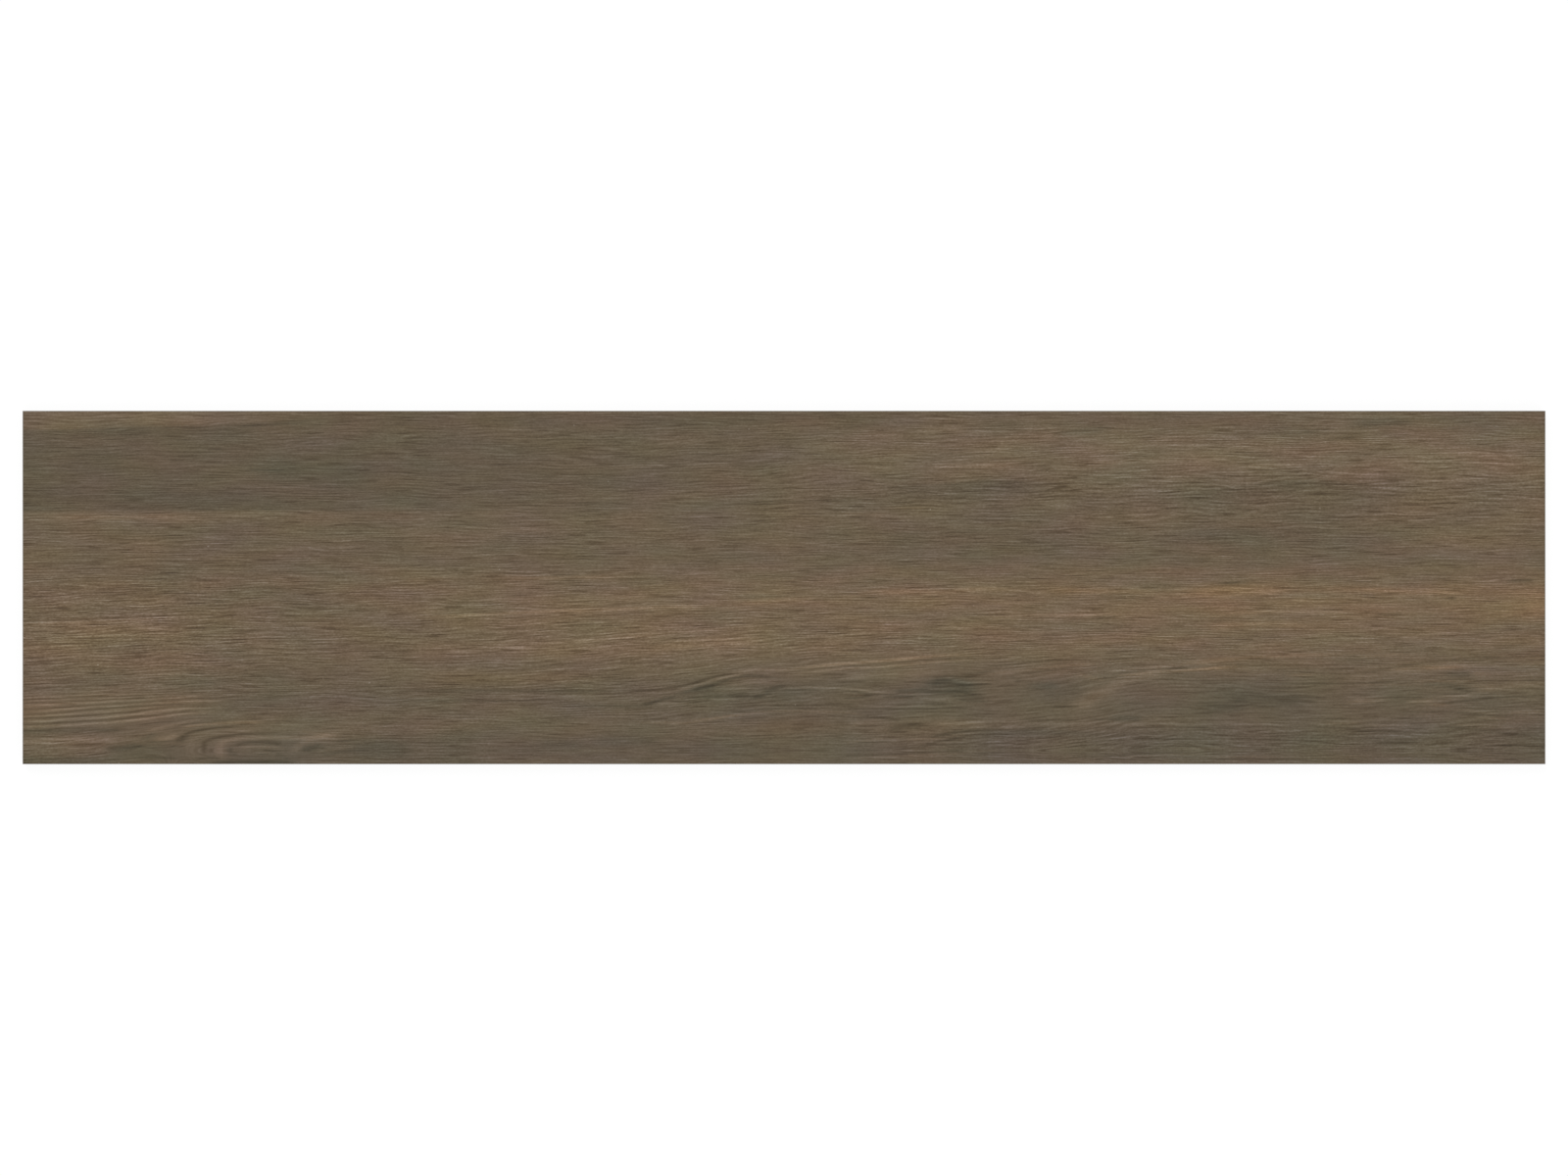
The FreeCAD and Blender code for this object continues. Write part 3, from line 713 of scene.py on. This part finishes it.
def curve_share(px, py, line, half_width):
    """How strongly a curved streak shows at each place."""
    curve = curve_through(line)
    share = np.zeros_like(px)
    margin = CURVE_MARGIN * half_width * CURVE_STRETCH
    low, high = curve.min(axis=0) - margin, curve.max(axis=0) + margin
    near = (px > low[0]) & (px < high[0]) & (py > low[1]) & (py < high[1])
    aside = (px[near][:, None] - curve[:, 0]) / CURVE_STRETCH
    off = np.hypot(aside, py[near][:, None] - curve[:, 1])
    along = off.argmin(axis=1) / (len(curve) - 1.0)
    start = smooth_step(along / CURVE_FADE + CURVE_START)
    end = smooth_step((1.0 - along) / CURVE_FADE + CURVE_START)
    share[near] = np.exp(-((off.min(axis=1) / half_width) ** FINE_EDGE)) * start * end
    return share


def grain_rise(px, py):
    """How far the grain at each place has risen from the left end of the plank, in pixels."""
    slope = np.zeros_like(px)
    for (x, y), (along, above, below), rise in GRAIN_SWEEPS:
        across = np.where(py < y, above, below)
        slope += rise * np.exp(-(((px - x) / along) ** 2) - ((py - y) / across) ** 2)
    step = np.diff(px, axis=1)
    moved = np.cumsum((slope[:, 1:] + slope[:, :-1]) / 2.0 * step, axis=1)
    moved = np.pad(moved, ((0, 0), (1, 0)))
    limit = SWEEP_STRETCH * np.abs(np.diff(py, axis=0))
    eased = np.cumsum(np.clip(np.diff(moved, axis=0), -limit, limit), axis=0)
    eased = np.pad(eased, ((1, 0), (0, 0)))
    still = np.abs(py[:, 0] - STILL_LINE_PX).argmin()
    return eased - eased[still]


def grain_across(px, py):
    """Which fibre of the grain each place is on, counted in pixels up from the middle line of the eye."""
    left = np.maximum(EYE_END_PX[0] - px, 0.0) / EYE_REACH_PX
    bend = EYE_RISE_PX * (1.0 - np.exp(-(left**EYE_BEND)))
    height = EYE_END_PX[1] - py
    rings = np.hypot(height, bend)
    straight = np.hypot(EYE_STRAIGHT_PX, bend) + EYE_STRAIGHT_SLOPE * (height - EYE_STRAIGHT_PX)
    straight = np.where(height > EYE_STRAIGHT_PX, rings, straight)
    by_eye = smooth_step((px - EYE_LEFT_PX[0]) / (EYE_LEFT_PX[1] - EYE_LEFT_PX[0]))
    return straight + (rings - straight) * by_eye - grain_rise(px, py)


def figure(px, py, across):
    """Tone, warmth and green of all listed streaks at each place, in levels."""
    wander = lattice_noise(px, across, *WANDER)
    uneven = lattice_noise(px, across, *UNEVEN)
    dashed = lattice_noise(px, across, *CURVE_DASHES)
    tone, warmth, green = totals = np.zeros((3, *px.shape))

    def lay(share, levels, warm, variation, cool_green):
        tone[:] += levels * share * (1.0 + variation)
        warmth[:] += warm * share
        green[:] -= cool_green * min(warm, 0.0) * share

    for above, below, levels, warm, *line in BROAD_STREAKS:
        share = broad_share(px, py + BROAD_WANDER_PX * wander, line, above, below)
        lay(share, levels, warm, BROAD_UNEVEN * uneven, BROAD_GREEN)
    for above, below, levels, warm, *line in FINE_STREAKS:
        share = fine_share(px, py + FINE_WANDER_PX * wander, line, above, below)
        lay(share, levels, warm, FINE_UNEVEN * uneven, COOL_GREEN)
    for half_width, levels, warm, *line in CURVES:
        lay(curve_share(px, py, line, half_width), levels, warm, CURVE_UNEVEN * dashed, COOL_GREEN)
    return totals


def face_fields(x, y):
    """Everything the grain needs at the points of the face's grid, by name."""
    px, py = to_px(x, y)
    across = grain_across(px, py)
    tone, warmth, green = figure(px, py, across)
    fibre_share = np.ones_like(px)
    for (zone_x, zone_y), (along, beside), change in FIBRE_ZONES:
        off = np.abs((px - zone_x) / along) ** BROAD_EDGE + np.abs((py - zone_y) / beside) ** BROAD_EDGE
        fibre_share += change * np.exp(-off)
    return {
        "along": px * PX,
        "across": across * PX,
        "tone": tone,
        "warmth": warmth,
        "green": green,
        "fibre_share": fibre_share,
    }


def face_relief(fields):
    """How far the emboss lies below the top of the tile."""
    waves = lattice_noise(fields["along"], fields["across"], *WAVES)
    fine = lattice_noise(fields["along"], fields["across"], *GROOVES)
    grooves = smooth_step((fine - GROOVE_FROM) / GROOVE_SPAN)
    return WAVE_DEPTH * (0.5 + 0.5 * np.clip(waves, -1.0, 1.0)) + GROOVE_DEPTH * grooves


class MeshParts:
    """Collects corners and faces of one mesh, with a material and a shading for each face."""

    def __init__(self):
        self.corners = []
        self.faces = []
        self.kinds = []
        self.smooth = []

    def corner(self, x, y, z):
        """Adds a corner and returns its number."""
        self.corners.append((float(x), float(y), float(z)))
        return len(self.corners) - 1

    def face(self, loop, kind, smooth=False):
        """Adds a face round the given corners."""
        self.faces.append([int(c) for c in loop])
        self.kinds.append(kind)
        self.smooth.append(smooth)

    def strip(self, upper, lower, kind):
        """Adds a ring of faces between two rings of corners."""
        for k in range(len(upper)):
            after = (k + 1) % len(upper)
            self.face((upper[k], lower[k], lower[after], upper[after]), kind)


def grid_line(middle, side, spans):
    """Places along one side of the grid in pixels, from bevel to bevel."""
    half = (side / 2.0 - ARRIS_BEVEL) / PX
    places = [middle - half]
    for end, step in spans:
        end = min(end, middle + half)
        count = math.ceil((end - places[-1]) / step)
        places.extend(np.linspace(places[-1], end, count + 1)[1:])
    return np.array(places)


def face_grid():
    """The places of the face's grid points, row by row from -Y."""
    columns = grid_line(TILE_CENTRE_PX[0], LENGTH, GRID_COLUMNS)
    rows = grid_line(TILE_CENTRE_PX[1], WIDTH, GRID_ROWS)
    return np.meshgrid((columns - TILE_CENTRE_PX[0]) * PX, (TILE_CENTRE_PX[1] - rows[::-1]) * PX)


def add_face(parts, x, y, depth):
    """The embossed face. Its rim, which is returned, slides down the bevel where the emboss is deep."""
    x, y, z = x.copy(), y.copy(), TOP - depth
    x[:, 0] -= depth[:, 0]
    x[:, -1] += depth[:, -1]
    y[0] -= depth[0]
    y[-1] += depth[-1]
    numbers = np.arange(x.size).reshape(x.shape)
    for place in zip(x.ravel(), y.ravel(), z.ravel()):
        parts.corner(*place)
    quads = np.stack([numbers[:-1, :-1], numbers[:-1, 1:], numbers[1:, 1:], numbers[1:, :-1]], axis=-1)
    for quad in quads.reshape(-1, 4):
        parts.face(quad, FACE, smooth=True)
    return np.concatenate([numbers[0, :-1], numbers[:-1, -1], numbers[-1, :0:-1], numbers[:0:-1, 0]])


def to_edge(place, end):
    """Moves a coordinate of the face's rim out to the ground edge, if it belongs there."""
    return place if abs(place) < end - ARRIS_BEVEL - RIM_SLACK else math.copysign(end, place)


def add_walls(parts, rim):
    """The bevel and the ground edges, from the rim of the face down to the back. Returns the lower rim."""
    upper = list(rim)
    for z in (TOP - ARRIS_BEVEL, 0.0):
        places = [parts.corners[corner] for corner in rim]
        lower = [parts.corner(to_edge(x, HIGH[0]), to_edge(y, HIGH[1]), z) for x, y, _ in places]
        parts.strip(upper, lower, EDGE)
        upper = lower
    return upper


def cell_places(tile_side, cell_side):
    """Middles of the recesses along one side of the tile."""
    pitch = cell_side + RIB_WIDTH
    count = math.floor((tile_side - 2.0 * BACK_MARGIN + RIB_WIDTH) / pitch + COUNT_SLACK)
    return (np.arange(count) - (count - 1) / 2.0) * pitch


def round_rectangle(length, width, radius):
    """Points round a rectangle with round corners, corner by corner."""
    turns = np.linspace(0.0, math.pi / 2.0, CELL_CORNER_STEPS + 1)
    points = []
    for quarter, (sx, sy) in enumerate(CORNERS):
        angle = turns + (quarter - 1) * math.pi / 2.0
        x = sx * (length / 2.0 - radius) + radius * np.cos(angle)
        y = sy * (width / 2.0 - radius) + radius * np.sin(angle)
        points.append(np.stack([x, y], axis=-1))
    return points


def add_cell(parts, x, y, pad):
    """One recess of the back, with the ribs half way to its neighbours. The pad is the corners round it."""
    draw_in = CELL_DEPTH * math.tan(CELL_DRAFT)
    mouth = round_rectangle(CELL_LENGTH, CELL_WIDTH, CELL_CORNER)
    floor = round_rectangle(CELL_LENGTH - 2.0 * draw_in, CELL_WIDTH - 2.0 * draw_in, CELL_CORNER - draw_in)
    rim = [[parts.corner(x + px, y + py, 0.0) for px, py in quarter] for quarter in mouth]
    bed = [[parts.corner(x + px, y + py, CELL_DEPTH) for px, py in quarter] for quarter in floor]
    for quarter, arc in enumerate(rim):
        after = (quarter + 1) % len(rim)
        for near, far in zip(arc, arc[1:]):
            parts.face((pad[quarter], near, far), BACK)
        parts.face((pad[quarter], arc[-1], rim[after][0], pad[after]), BACK)
    parts.strip(sum(rim, []), sum(bed, []), BACK)
    parts.face(reversed(sum(bed, [])), BACK)


def add_back(parts, lower_rim, rows):
    """The bedding face: a plain band round a lattice of recesses."""
    xs = cell_places(LENGTH, CELL_LENGTH)
    ys = cell_places(WIDTH, CELL_WIDTH)
    half_x = (CELL_LENGTH + RIB_WIDTH) / 2.0
    half_y = (CELL_WIDTH + RIB_WIDTH) / 2.0
    knots_x = np.append(xs - half_x, xs[-1] + half_x)
    knots_y = np.append(ys - half_y, ys[-1] + half_y)
    knots = [[parts.corner(x, y, 0.0) for y in knots_y] for x in knots_x]
    for i, x in enumerate(xs):
        for j, y in enumerate(ys):
            add_cell(parts, x, y, (knots[i + 1][j], knots[i + 1][j + 1], knots[i][j + 1], knots[i][j]))
    add_band(parts, lower_rim, rows, knots)


def add_band(parts, lower_rim, rows, knots):
    """The plain band between the ground edges and the lattice, as one face for each side."""
    along = len(lower_rim) // 2 - rows
    inner = (
        [column[0] for column in knots],
        list(knots[-1]),
        [column[-1] for column in reversed(knots)],
        list(reversed(knots[0])),
    )
    ring = list(lower_rim) + [lower_rim[0]]
    start = 0
    for line, count in zip(inner, (along, rows, along, rows)):
        parts.face(line + ring[start:start + count + 1][::-1], BACK)
        start += count


def lay_out(mesh, kinds):
    """The map that the look of the tile is kept in, by corner of each face."""
    sizes = np.array([len(polygon.vertices) for polygon in mesh.polygons])
    owner = np.repeat(np.arange(len(sizes)), sizes)
    numbers = np.array([loop.vertex_index for loop in mesh.loops])
    place = np.array([vertex.co for vertex in mesh.vertices])[numbers]
    middle = np.array([polygon.center for polygon in mesh.polygons])[owner]
    kind = np.array(kinds)[owner]
    along, across, up = ((place - np.array(LOW)) / (np.array(HIGH) - np.array(LOW))).T
    room = np.array(HIGH) - np.abs(middle)
    at_end = (kind == EDGE) & (room[:, 0] < room[:, 1])
    at_side = (kind == EDGE) & ~at_end
    uv = np.zeros((len(numbers), 2))
    for chosen, (left, right, bottom, top), u, v in (
        (kind == FACE, FACE_AREA, along, across),
        (kind == BACK, BACK_AREA, along, across),
        (at_side & (middle[:, 1] < 0.0), FRONT_AREA, along, up),
        (at_side & (middle[:, 1] > 0.0), REAR_AREA, along, up),
        (at_end & (middle[:, 0] < 0.0), LEFT_AREA, across, up),
        (at_end & (middle[:, 0] > 0.0), RIGHT_AREA, across, up),
    ):
        uv[chosen, 0] = left + (right - left) * u[chosen]
        uv[chosen, 1] = bottom + (top - bottom) * v[chosen]
    mesh.uv_layers.new(name="OFBake").data.foreach_set("uv", uv.ravel())


def make_mesh():
    """The tile's mesh, closed, with the grain's fields as attributes of its corners."""
    x, y = face_grid()
    fields = face_fields(x, y)
    parts = MeshParts()
    rim = add_face(parts, x, y, face_relief(fields))
    add_back(parts, add_walls(parts, rim), len(y) - 1)
    mesh = bpy.data.meshes.new(NODE + "_finish")
    mesh.from_pydata(parts.corners, [], parts.faces)
    mesh.polygons.foreach_set("material_index", parts.kinds)
    mesh.polygons.foreach_set("use_smooth", parts.smooth)
    for name, values in fields.items():
        every = np.zeros(len(parts.corners), np.float32)
        every[:values.size] = values.ravel()
        mesh.attributes.new(name, "FLOAT", "POINT").data.foreach_set("value", every)
    mesh.update()
    lay_out(mesh, parts.kinds)
    mesh.validate()
    return mesh


class Graph:
    """Adds nodes to a material and joins them up."""

    def __init__(self, name):
        self.material = bpy.data.materials.new(name)
        self.material.use_nodes = True
        self.tree = self.material.node_tree
        self.tree.nodes.clear()

    def add(self, kind, **settings):
        node = self.tree.nodes.new(kind)
        for name, value in settings.items():
            setattr(node, name, value)
        return node

    def feed(self, socket, value):
        if isinstance(value, bpy.types.NodeSocket):
            self.tree.links.new(value, socket)
        else:
            socket.default_value = value

    def fill(self, node, values):
        """Feeds the first sockets of a node in turn, and returns its first output."""
        for socket, value in zip(node.inputs, values):
            self.feed(socket, value)
        return node.outputs[0]

    def math(self, operation, *values):
        return self.fill(self.add("ShaderNodeMath", operation=operation), values)

    def scaled(self, value, factor, more):
        """The value times the factor, and more."""
        return self.math("MULTIPLY_ADD", value, factor, more)

    def sum(self, *values):
        total = values[0]
        for value in values[1:]:
            total = self.math("ADD", total, value)
        return total

    def attribute(self, name):
        return self.add("ShaderNodeAttribute", attribute_name=name).outputs["Fac"]

    def vector(self, x, y, z=0.0):
        return self.fill(self.add("ShaderNodeCombineXYZ"), (x, y, z))

    def colour(self, *channels):
        return self.fill(self.add("ShaderNodeCombineColor"), channels)

    def map(self, value, low, high, to_low=0.0, to_high=1.0):
        node = self.add("ShaderNodeMapRange", interpolation_type="SMOOTHSTEP")
        return self.fill(node, (value, low, high, to_low, to_high))

    def noise(self, place, detail=0.0, rough=0.5, dimensions="2D"):
        node = self.add("ShaderNodeTexNoise", noise_dimensions=dimensions)
        self.feed(node.inputs["Vector"], place)
        self.feed(node.inputs["Scale"], 1.0)
        self.feed(node.inputs["Detail"], detail)
        self.feed(node.inputs["Roughness"], rough)
        return node.outputs["Fac"]

    def centred(self, value):
        return self.math("SUBTRACT", value, NOISE_MIDDLE)

    def ceramic(self, colour, roughness, height):
        """A surface of the tile, with its fine texture."""
        bump = self.add("ShaderNodeBump")
        self.feed(bump.inputs["Strength"], BUMP_STRENGTH)
        self.feed(bump.inputs["Distance"], BUMP_HEIGHT)
        self.feed(bump.inputs["Height"], height)
        principled = self.add("ShaderNodeBsdfPrincipled")
        self.feed(principled.inputs["Base Color"], colour)
        self.feed(principled.inputs["Roughness"], roughness)
        self.feed(principled.inputs["Specular IOR Level"], SPECULAR)
        self.feed(principled.inputs["Normal"], bump.outputs[0])
        return self.finish(principled)

    def finish(self, shader):
        output = self.add("ShaderNodeOutputMaterial")
        self.feed(output.inputs["Surface"], shader.outputs[0])
        return self.material


def grain_place(graph, length, width, shift):
    """Grain coordinates counted in streaks of the given size, moved so that no layers or bundles agree."""
    across = graph.attribute("across")
    chance = graph.add("ShaderNodeTexWhiteNoise", noise_dimensions="1D")
    bundle = graph.math("FLOOR", graph.scaled(across, 1.0 / BUNDLE_WIDTH, shift))
    graph.feed(chance.inputs["W"], bundle)
    along = graph.scaled(graph.attribute("along"), 1.0 / length, shift)
    along = graph.scaled(chance.outputs["Value"], BUNDLE_JUMP, along)
    return graph.vector(along, graph.scaled(across, 1.0 / width, SHIFT_ACROSS * shift))


def soft_layers(graph, layers):
    """Sum of soft layers of the grain, in levels."""
    total = 0.0
    for *place, levels in layers:
        layer = graph.centred(graph.noise(grain_place(graph, *place)))
        total = graph.scaled(layer, levels / NOISE_SPREAD, total)
    return total


def crisp_layers(graph, layers):
    """Sum of crisp layers of the grain, in levels."""
    low, high = NOISE_MIDDLE - FIBRE_EDGE, NOISE_MIDDLE + FIBRE_EDGE
    total = 0.0
    for *place, levels in layers:
        layer = graph.map(graph.noise(grain_place(graph, *place)), low, high, -levels, levels)
        total = graph.sum(layer, total)
    return total


def patches(graph, length, width, shift, levels):
    """Soft patches, in levels."""
    along = graph.scaled(graph.attribute("along"), 1.0 / length, shift)
    across = graph.scaled(graph.attribute("across"), 1.0 / width, SHIFT_ACROSS * shift)
    patch = graph.centred(graph.noise(graph.vector(along, across)))
    return graph.math("MULTIPLY", patch, levels / NOISE_SPREAD)


def year_lines(graph):
    """Fine lines at a nearly even pitch, in levels."""
    turns = graph.scaled(graph.attribute("across"), 1.0 / LINE_PITCH, patches(graph, *LINE_WAVER))
    wave = graph.math("SINE", graph.math("MULTIPLY", turns, 2.0 * math.pi))
    fade = graph.noise(grain_place(graph, *LINE_FADE))
    return graph.math("MULTIPLY", wave, graph.map(fade, *LINE_RANGE, 0.0, LINE_LEVELS))


def dashes(graph, layer):
    """Rare short lines, in levels."""
    *place, levels = layer
    return graph.map(graph.noise(grain_place(graph, *place)), *DASH_RANGE, 0.0, levels)


def painted_glints(graph):
    """Painted glints: rare pale specks in the colour, in levels."""
    voronoi = graph.add("ShaderNodeTexVoronoi", voronoi_dimensions="2D")
    graph.feed(voronoi.inputs["Vector"], grain_place(graph, *GLINT_PLACE))
    graph.feed(voronoi.inputs["Scale"], 1.0)
    radius = GLINT_RADIUS / GLINT_SPACING
    spot = graph.map(voronoi.outputs["Distance"], GLINT_CORE * radius, radius, GLINT_LEVELS, 0.0)
    chance = graph.fill(graph.add("ShaderNodeSeparateColor"), [voronoi.outputs["Color"]])
    return graph.math("MULTIPLY", spot, graph.math("LESS_THAN", chance, GLINT_SHARE))


def face_material():
    """Matte glazed print of weathered brown oak."""
    graph = Graph("printed_wood_grain")
    lines = graph.sum(crisp_layers(graph, FIBRES), dashes(graph, PORES), dashes(graph, THREADS))
    fibres = graph.sum(lines, year_lines(graph), soft_layers(graph, STREAKS))
    tone = graph.scaled(fibres, graph.attribute("fibre_share"), graph.attribute("tone"))
    # painted glints: rare pale specks added to the tone, standing for small glints of light
    tone = graph.sum(tone, painted_glints(graph))
    warmth = graph.sum(graph.attribute("warmth"), patches(graph, *WARM_PATCH))
    green = graph.sum(graph.attribute("green"), patches(graph, *GREEN_PATCH))
    channels = []
    for mean, tone_step, warm_step, green_step in zip(FACE_COLOUR, TONE_STEP, WARM_STEP, GREEN_STEP):
        change = graph.math("MULTIPLY", tone, tone_step)
        change = graph.scaled(warmth, warm_step, change)
        change = graph.scaled(green, green_step, change)
        channels.append(graph.math("MULTIPLY", graph.math("EXPONENT", change), mean))
    roughness = graph.scaled(fibres, FIBRE_ROUGHNESS, FACE_ROUGHNESS)
    return graph.ceramic(graph.colour(*channels), roughness, graph.math("MULTIPLY", fibres, FIBRE_HEIGHT))


def body_noise(graph, size, detail, rough):
    """Noise through the body of the tile, in grains of the given size."""
    scaled = graph.add("ShaderNodeVectorMath", operation="SCALE")
    graph.feed(scaled.inputs[0], graph.add("ShaderNodeTexCoord").outputs["Object"])
    graph.feed(scaled.inputs["Scale"], 1.0 / size)
    return graph.noise(scaled.outputs[0], detail, rough, "3D")


def tile_axes(graph):
    """The three coordinates of a place on the tile."""
    split = graph.add("ShaderNodeSeparateXYZ")
    graph.feed(split.inputs[0], graph.add("ShaderNodeTexCoord").outputs["Object"])
    return split.outputs


def grinding_lines(graph):
    """Faint lines that the grinding wheels leave along an edge."""
    x, y, z = tile_axes(graph)
    along = graph.math("MULTIPLY", graph.sum(x, y), 1.0 / GRIND_LENGTH)
    up = graph.math("MULTIPLY", z, 1.0 / GRIND_WIDTH)
    return graph.centred(graph.noise(graph.vector(along, up), GRIND_DETAIL))


def firing_clouds(graph):
    """Soft clouds in the colour of the back."""
    return graph.centred(body_noise(graph, *CLOUD))


def kiln_wash(graph, most):
    """How much of the pale powder that keeps tiles off the kiln's rollers shows, mostly on the ribs."""
    low = graph.map(tile_axes(graph)[2], 0.0, CELL_DEPTH, most, WASH_IN_CELL * most)
    return graph.math("MULTIPLY", low, graph.map(body_noise(graph, *WASH_PATCH), *WASH_RANGE))


def body_material(name, marks, wash=0.0):
    """Fired porcelain, coloured through and finely speckled, with the given marks and some kiln wash."""
    graph = Graph(name)
    speckle = graph.centred(body_noise(graph, *SPECKLE))
    height = graph.scaled(marks(graph), MARK_STRENGTH, speckle)
    shade = graph.math("EXPONENT", graph.math("MULTIPLY", height, SHADE_STRENGTH))
    share = kiln_wash(graph, wash)
    channels = []
    for mean, pale in zip(BODY_COLOUR, WASH_COLOUR):
        channels.append(graph.math("MULTIPLY", shade, graph.scaled(share, pale - mean, mean)))
    roughness = graph.scaled(speckle, SPECKLE_ROUGHNESS, BODY_ROUGHNESS)
    return graph.ceramic(graph.colour(*channels), roughness, height)


def make_tile():
    """The finished tile, in place of its solid."""
    mesh = make_mesh()
    mesh.materials.append(face_material())
    mesh.materials.append(body_material("ground_porcelain_edge", grinding_lines))
    mesh.materials.append(body_material("pressed_porcelain_back", firing_clouds, WASH_SHARE))
    tile = bpy.data.objects.new("wood_plank_tile", mesh)
    bpy.context.collection.objects.link(tile)
    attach(tile, "root")
    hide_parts(NODE)


def camera_or(graph, seen, other):
    """One value for what the camera sees directly or in a gloss, another for all other light."""
    path = graph.add("ShaderNodeLightPath").outputs
    direct = graph.sum(path["Is Camera Ray"], path["Is Glossy Ray"], path["Is Transmission Ray"])
    return graph.scaled(graph.math("MINIMUM", direct, 1.0), seen - other, other)


def floor_material():
    """Plain white that keeps the tile's soft shadow and is clear from below."""
    graph = Graph("pale_floor")
    diffuse = graph.add("ShaderNodeBsdfDiffuse")
    shade = camera_or(graph, *FLOOR_SHADE)
    graph.feed(diffuse.inputs["Color"], graph.colour(shade, shade, shade))
    glow = graph.add("ShaderNodeEmission")
    graph.feed(glow.inputs["Strength"], camera_or(graph, *FLOOR_GLOW))
    both = graph.fill(graph.add("ShaderNodeAddShader"), (diffuse.outputs[0], glow.outputs[0]))
    below = graph.add("ShaderNodeNewGeometry").outputs["Backfacing"]
    clear = graph.add("ShaderNodeBsdfTransparent").outputs[0]
    one_sided = graph.add("ShaderNodeMixShader")
    graph.fill(one_sided, (below, both, clear))
    return graph.finish(one_sided)


def make_floor():
    """A plain white floor, open under the tile."""
    mesh = bpy.data.meshes.new("floor")
    outside = (FLOOR_SIDE / 2.0, FLOOR_SIDE / 2.0)
    opening = (LENGTH / 2.0 - FLOOR_LAP, WIDTH / 2.0 - FLOOR_LAP)
    corners = [(sx * x, sy * y, -FLOOR_GAP) for x, y in (outside, opening) for sx, sy in CORNERS]
    sides = len(CORNERS)
    faces = [(k, (k + 1) % sides, (k + 1) % sides + sides, k + sides) for k in range(sides)]
    mesh.from_pydata(corners, [], faces)
    mesh.materials.append(floor_material())
    floor = bpy.data.objects.new("floor", mesh)
    bpy.context.collection.objects.link(floor)


def make_world():
    """Even light from all round, and white behind everything."""
    world = bpy.data.worlds.new("studio")
    world.use_nodes = True
    bpy.context.scene.world = world
    tree = world.node_tree
    path = tree.nodes.new("ShaderNodeLightPath")
    strength = tree.nodes.new("ShaderNodeMath")
    strength.operation = "MULTIPLY_ADD"
    strength.inputs[1].default_value = 1.0 - WORLD_LIGHT
    strength.inputs[2].default_value = WORLD_LIGHT
    tree.links.new(path.outputs["Is Camera Ray"], strength.inputs[0])
    background = tree.nodes["Background"]
    background.inputs["Color"].default_value = (1.0, 1.0, 1.0, 1.0)
    tree.links.new(strength.outputs[0], background.inputs["Strength"])


def make_lights():
    """Two large softboxes, on opposite sides across the grain."""
    for name, place, side, power in SOFTBOXES:
        light = bpy.data.lights.new(name, "AREA")
        light.shape = "SQUARE"
        light.size = side
        light.energy = power
        lamp = bpy.data.objects.new(name, light)
        lamp.location = place
        towards = -lamp.location
        lamp.rotation_mode = "QUATERNION"
        lamp.rotation_quaternion = towards.to_track_quat("-Z", "Y")
        lamp.visible_camera = False
        bpy.context.collection.objects.link(lamp)


def make_camera():
    """Straight down on the face, with the tile as wide in the frame as in the photograph."""
    camera = bpy.data.cameras.new("camera")
    camera.sensor_width = SENSOR_WIDTH
    camera.sensor_fit = "HORIZONTAL"
    frame_width = IMAGE_WIDTH * PX
    camera.lens = SENSOR_WIDTH * CAMERA_DISTANCE / frame_width
    holder = bpy.data.objects.new("camera", camera)
    aside = (IMAGE_WIDTH / 2.0 - TILE_CENTRE_PX[0]) * PX
    below = (TILE_CENTRE_PX[1] - IMAGE_HEIGHT / 2.0) * PX
    holder.location = (aside, below, TOP + CAMERA_DISTANCE)
    bpy.context.collection.objects.link(holder)
    bpy.context.scene.camera = holder


make_tile()
make_floor()
make_world()
make_lights()
make_camera()
bpy.context.scene.view_settings.view_transform = "Standard"
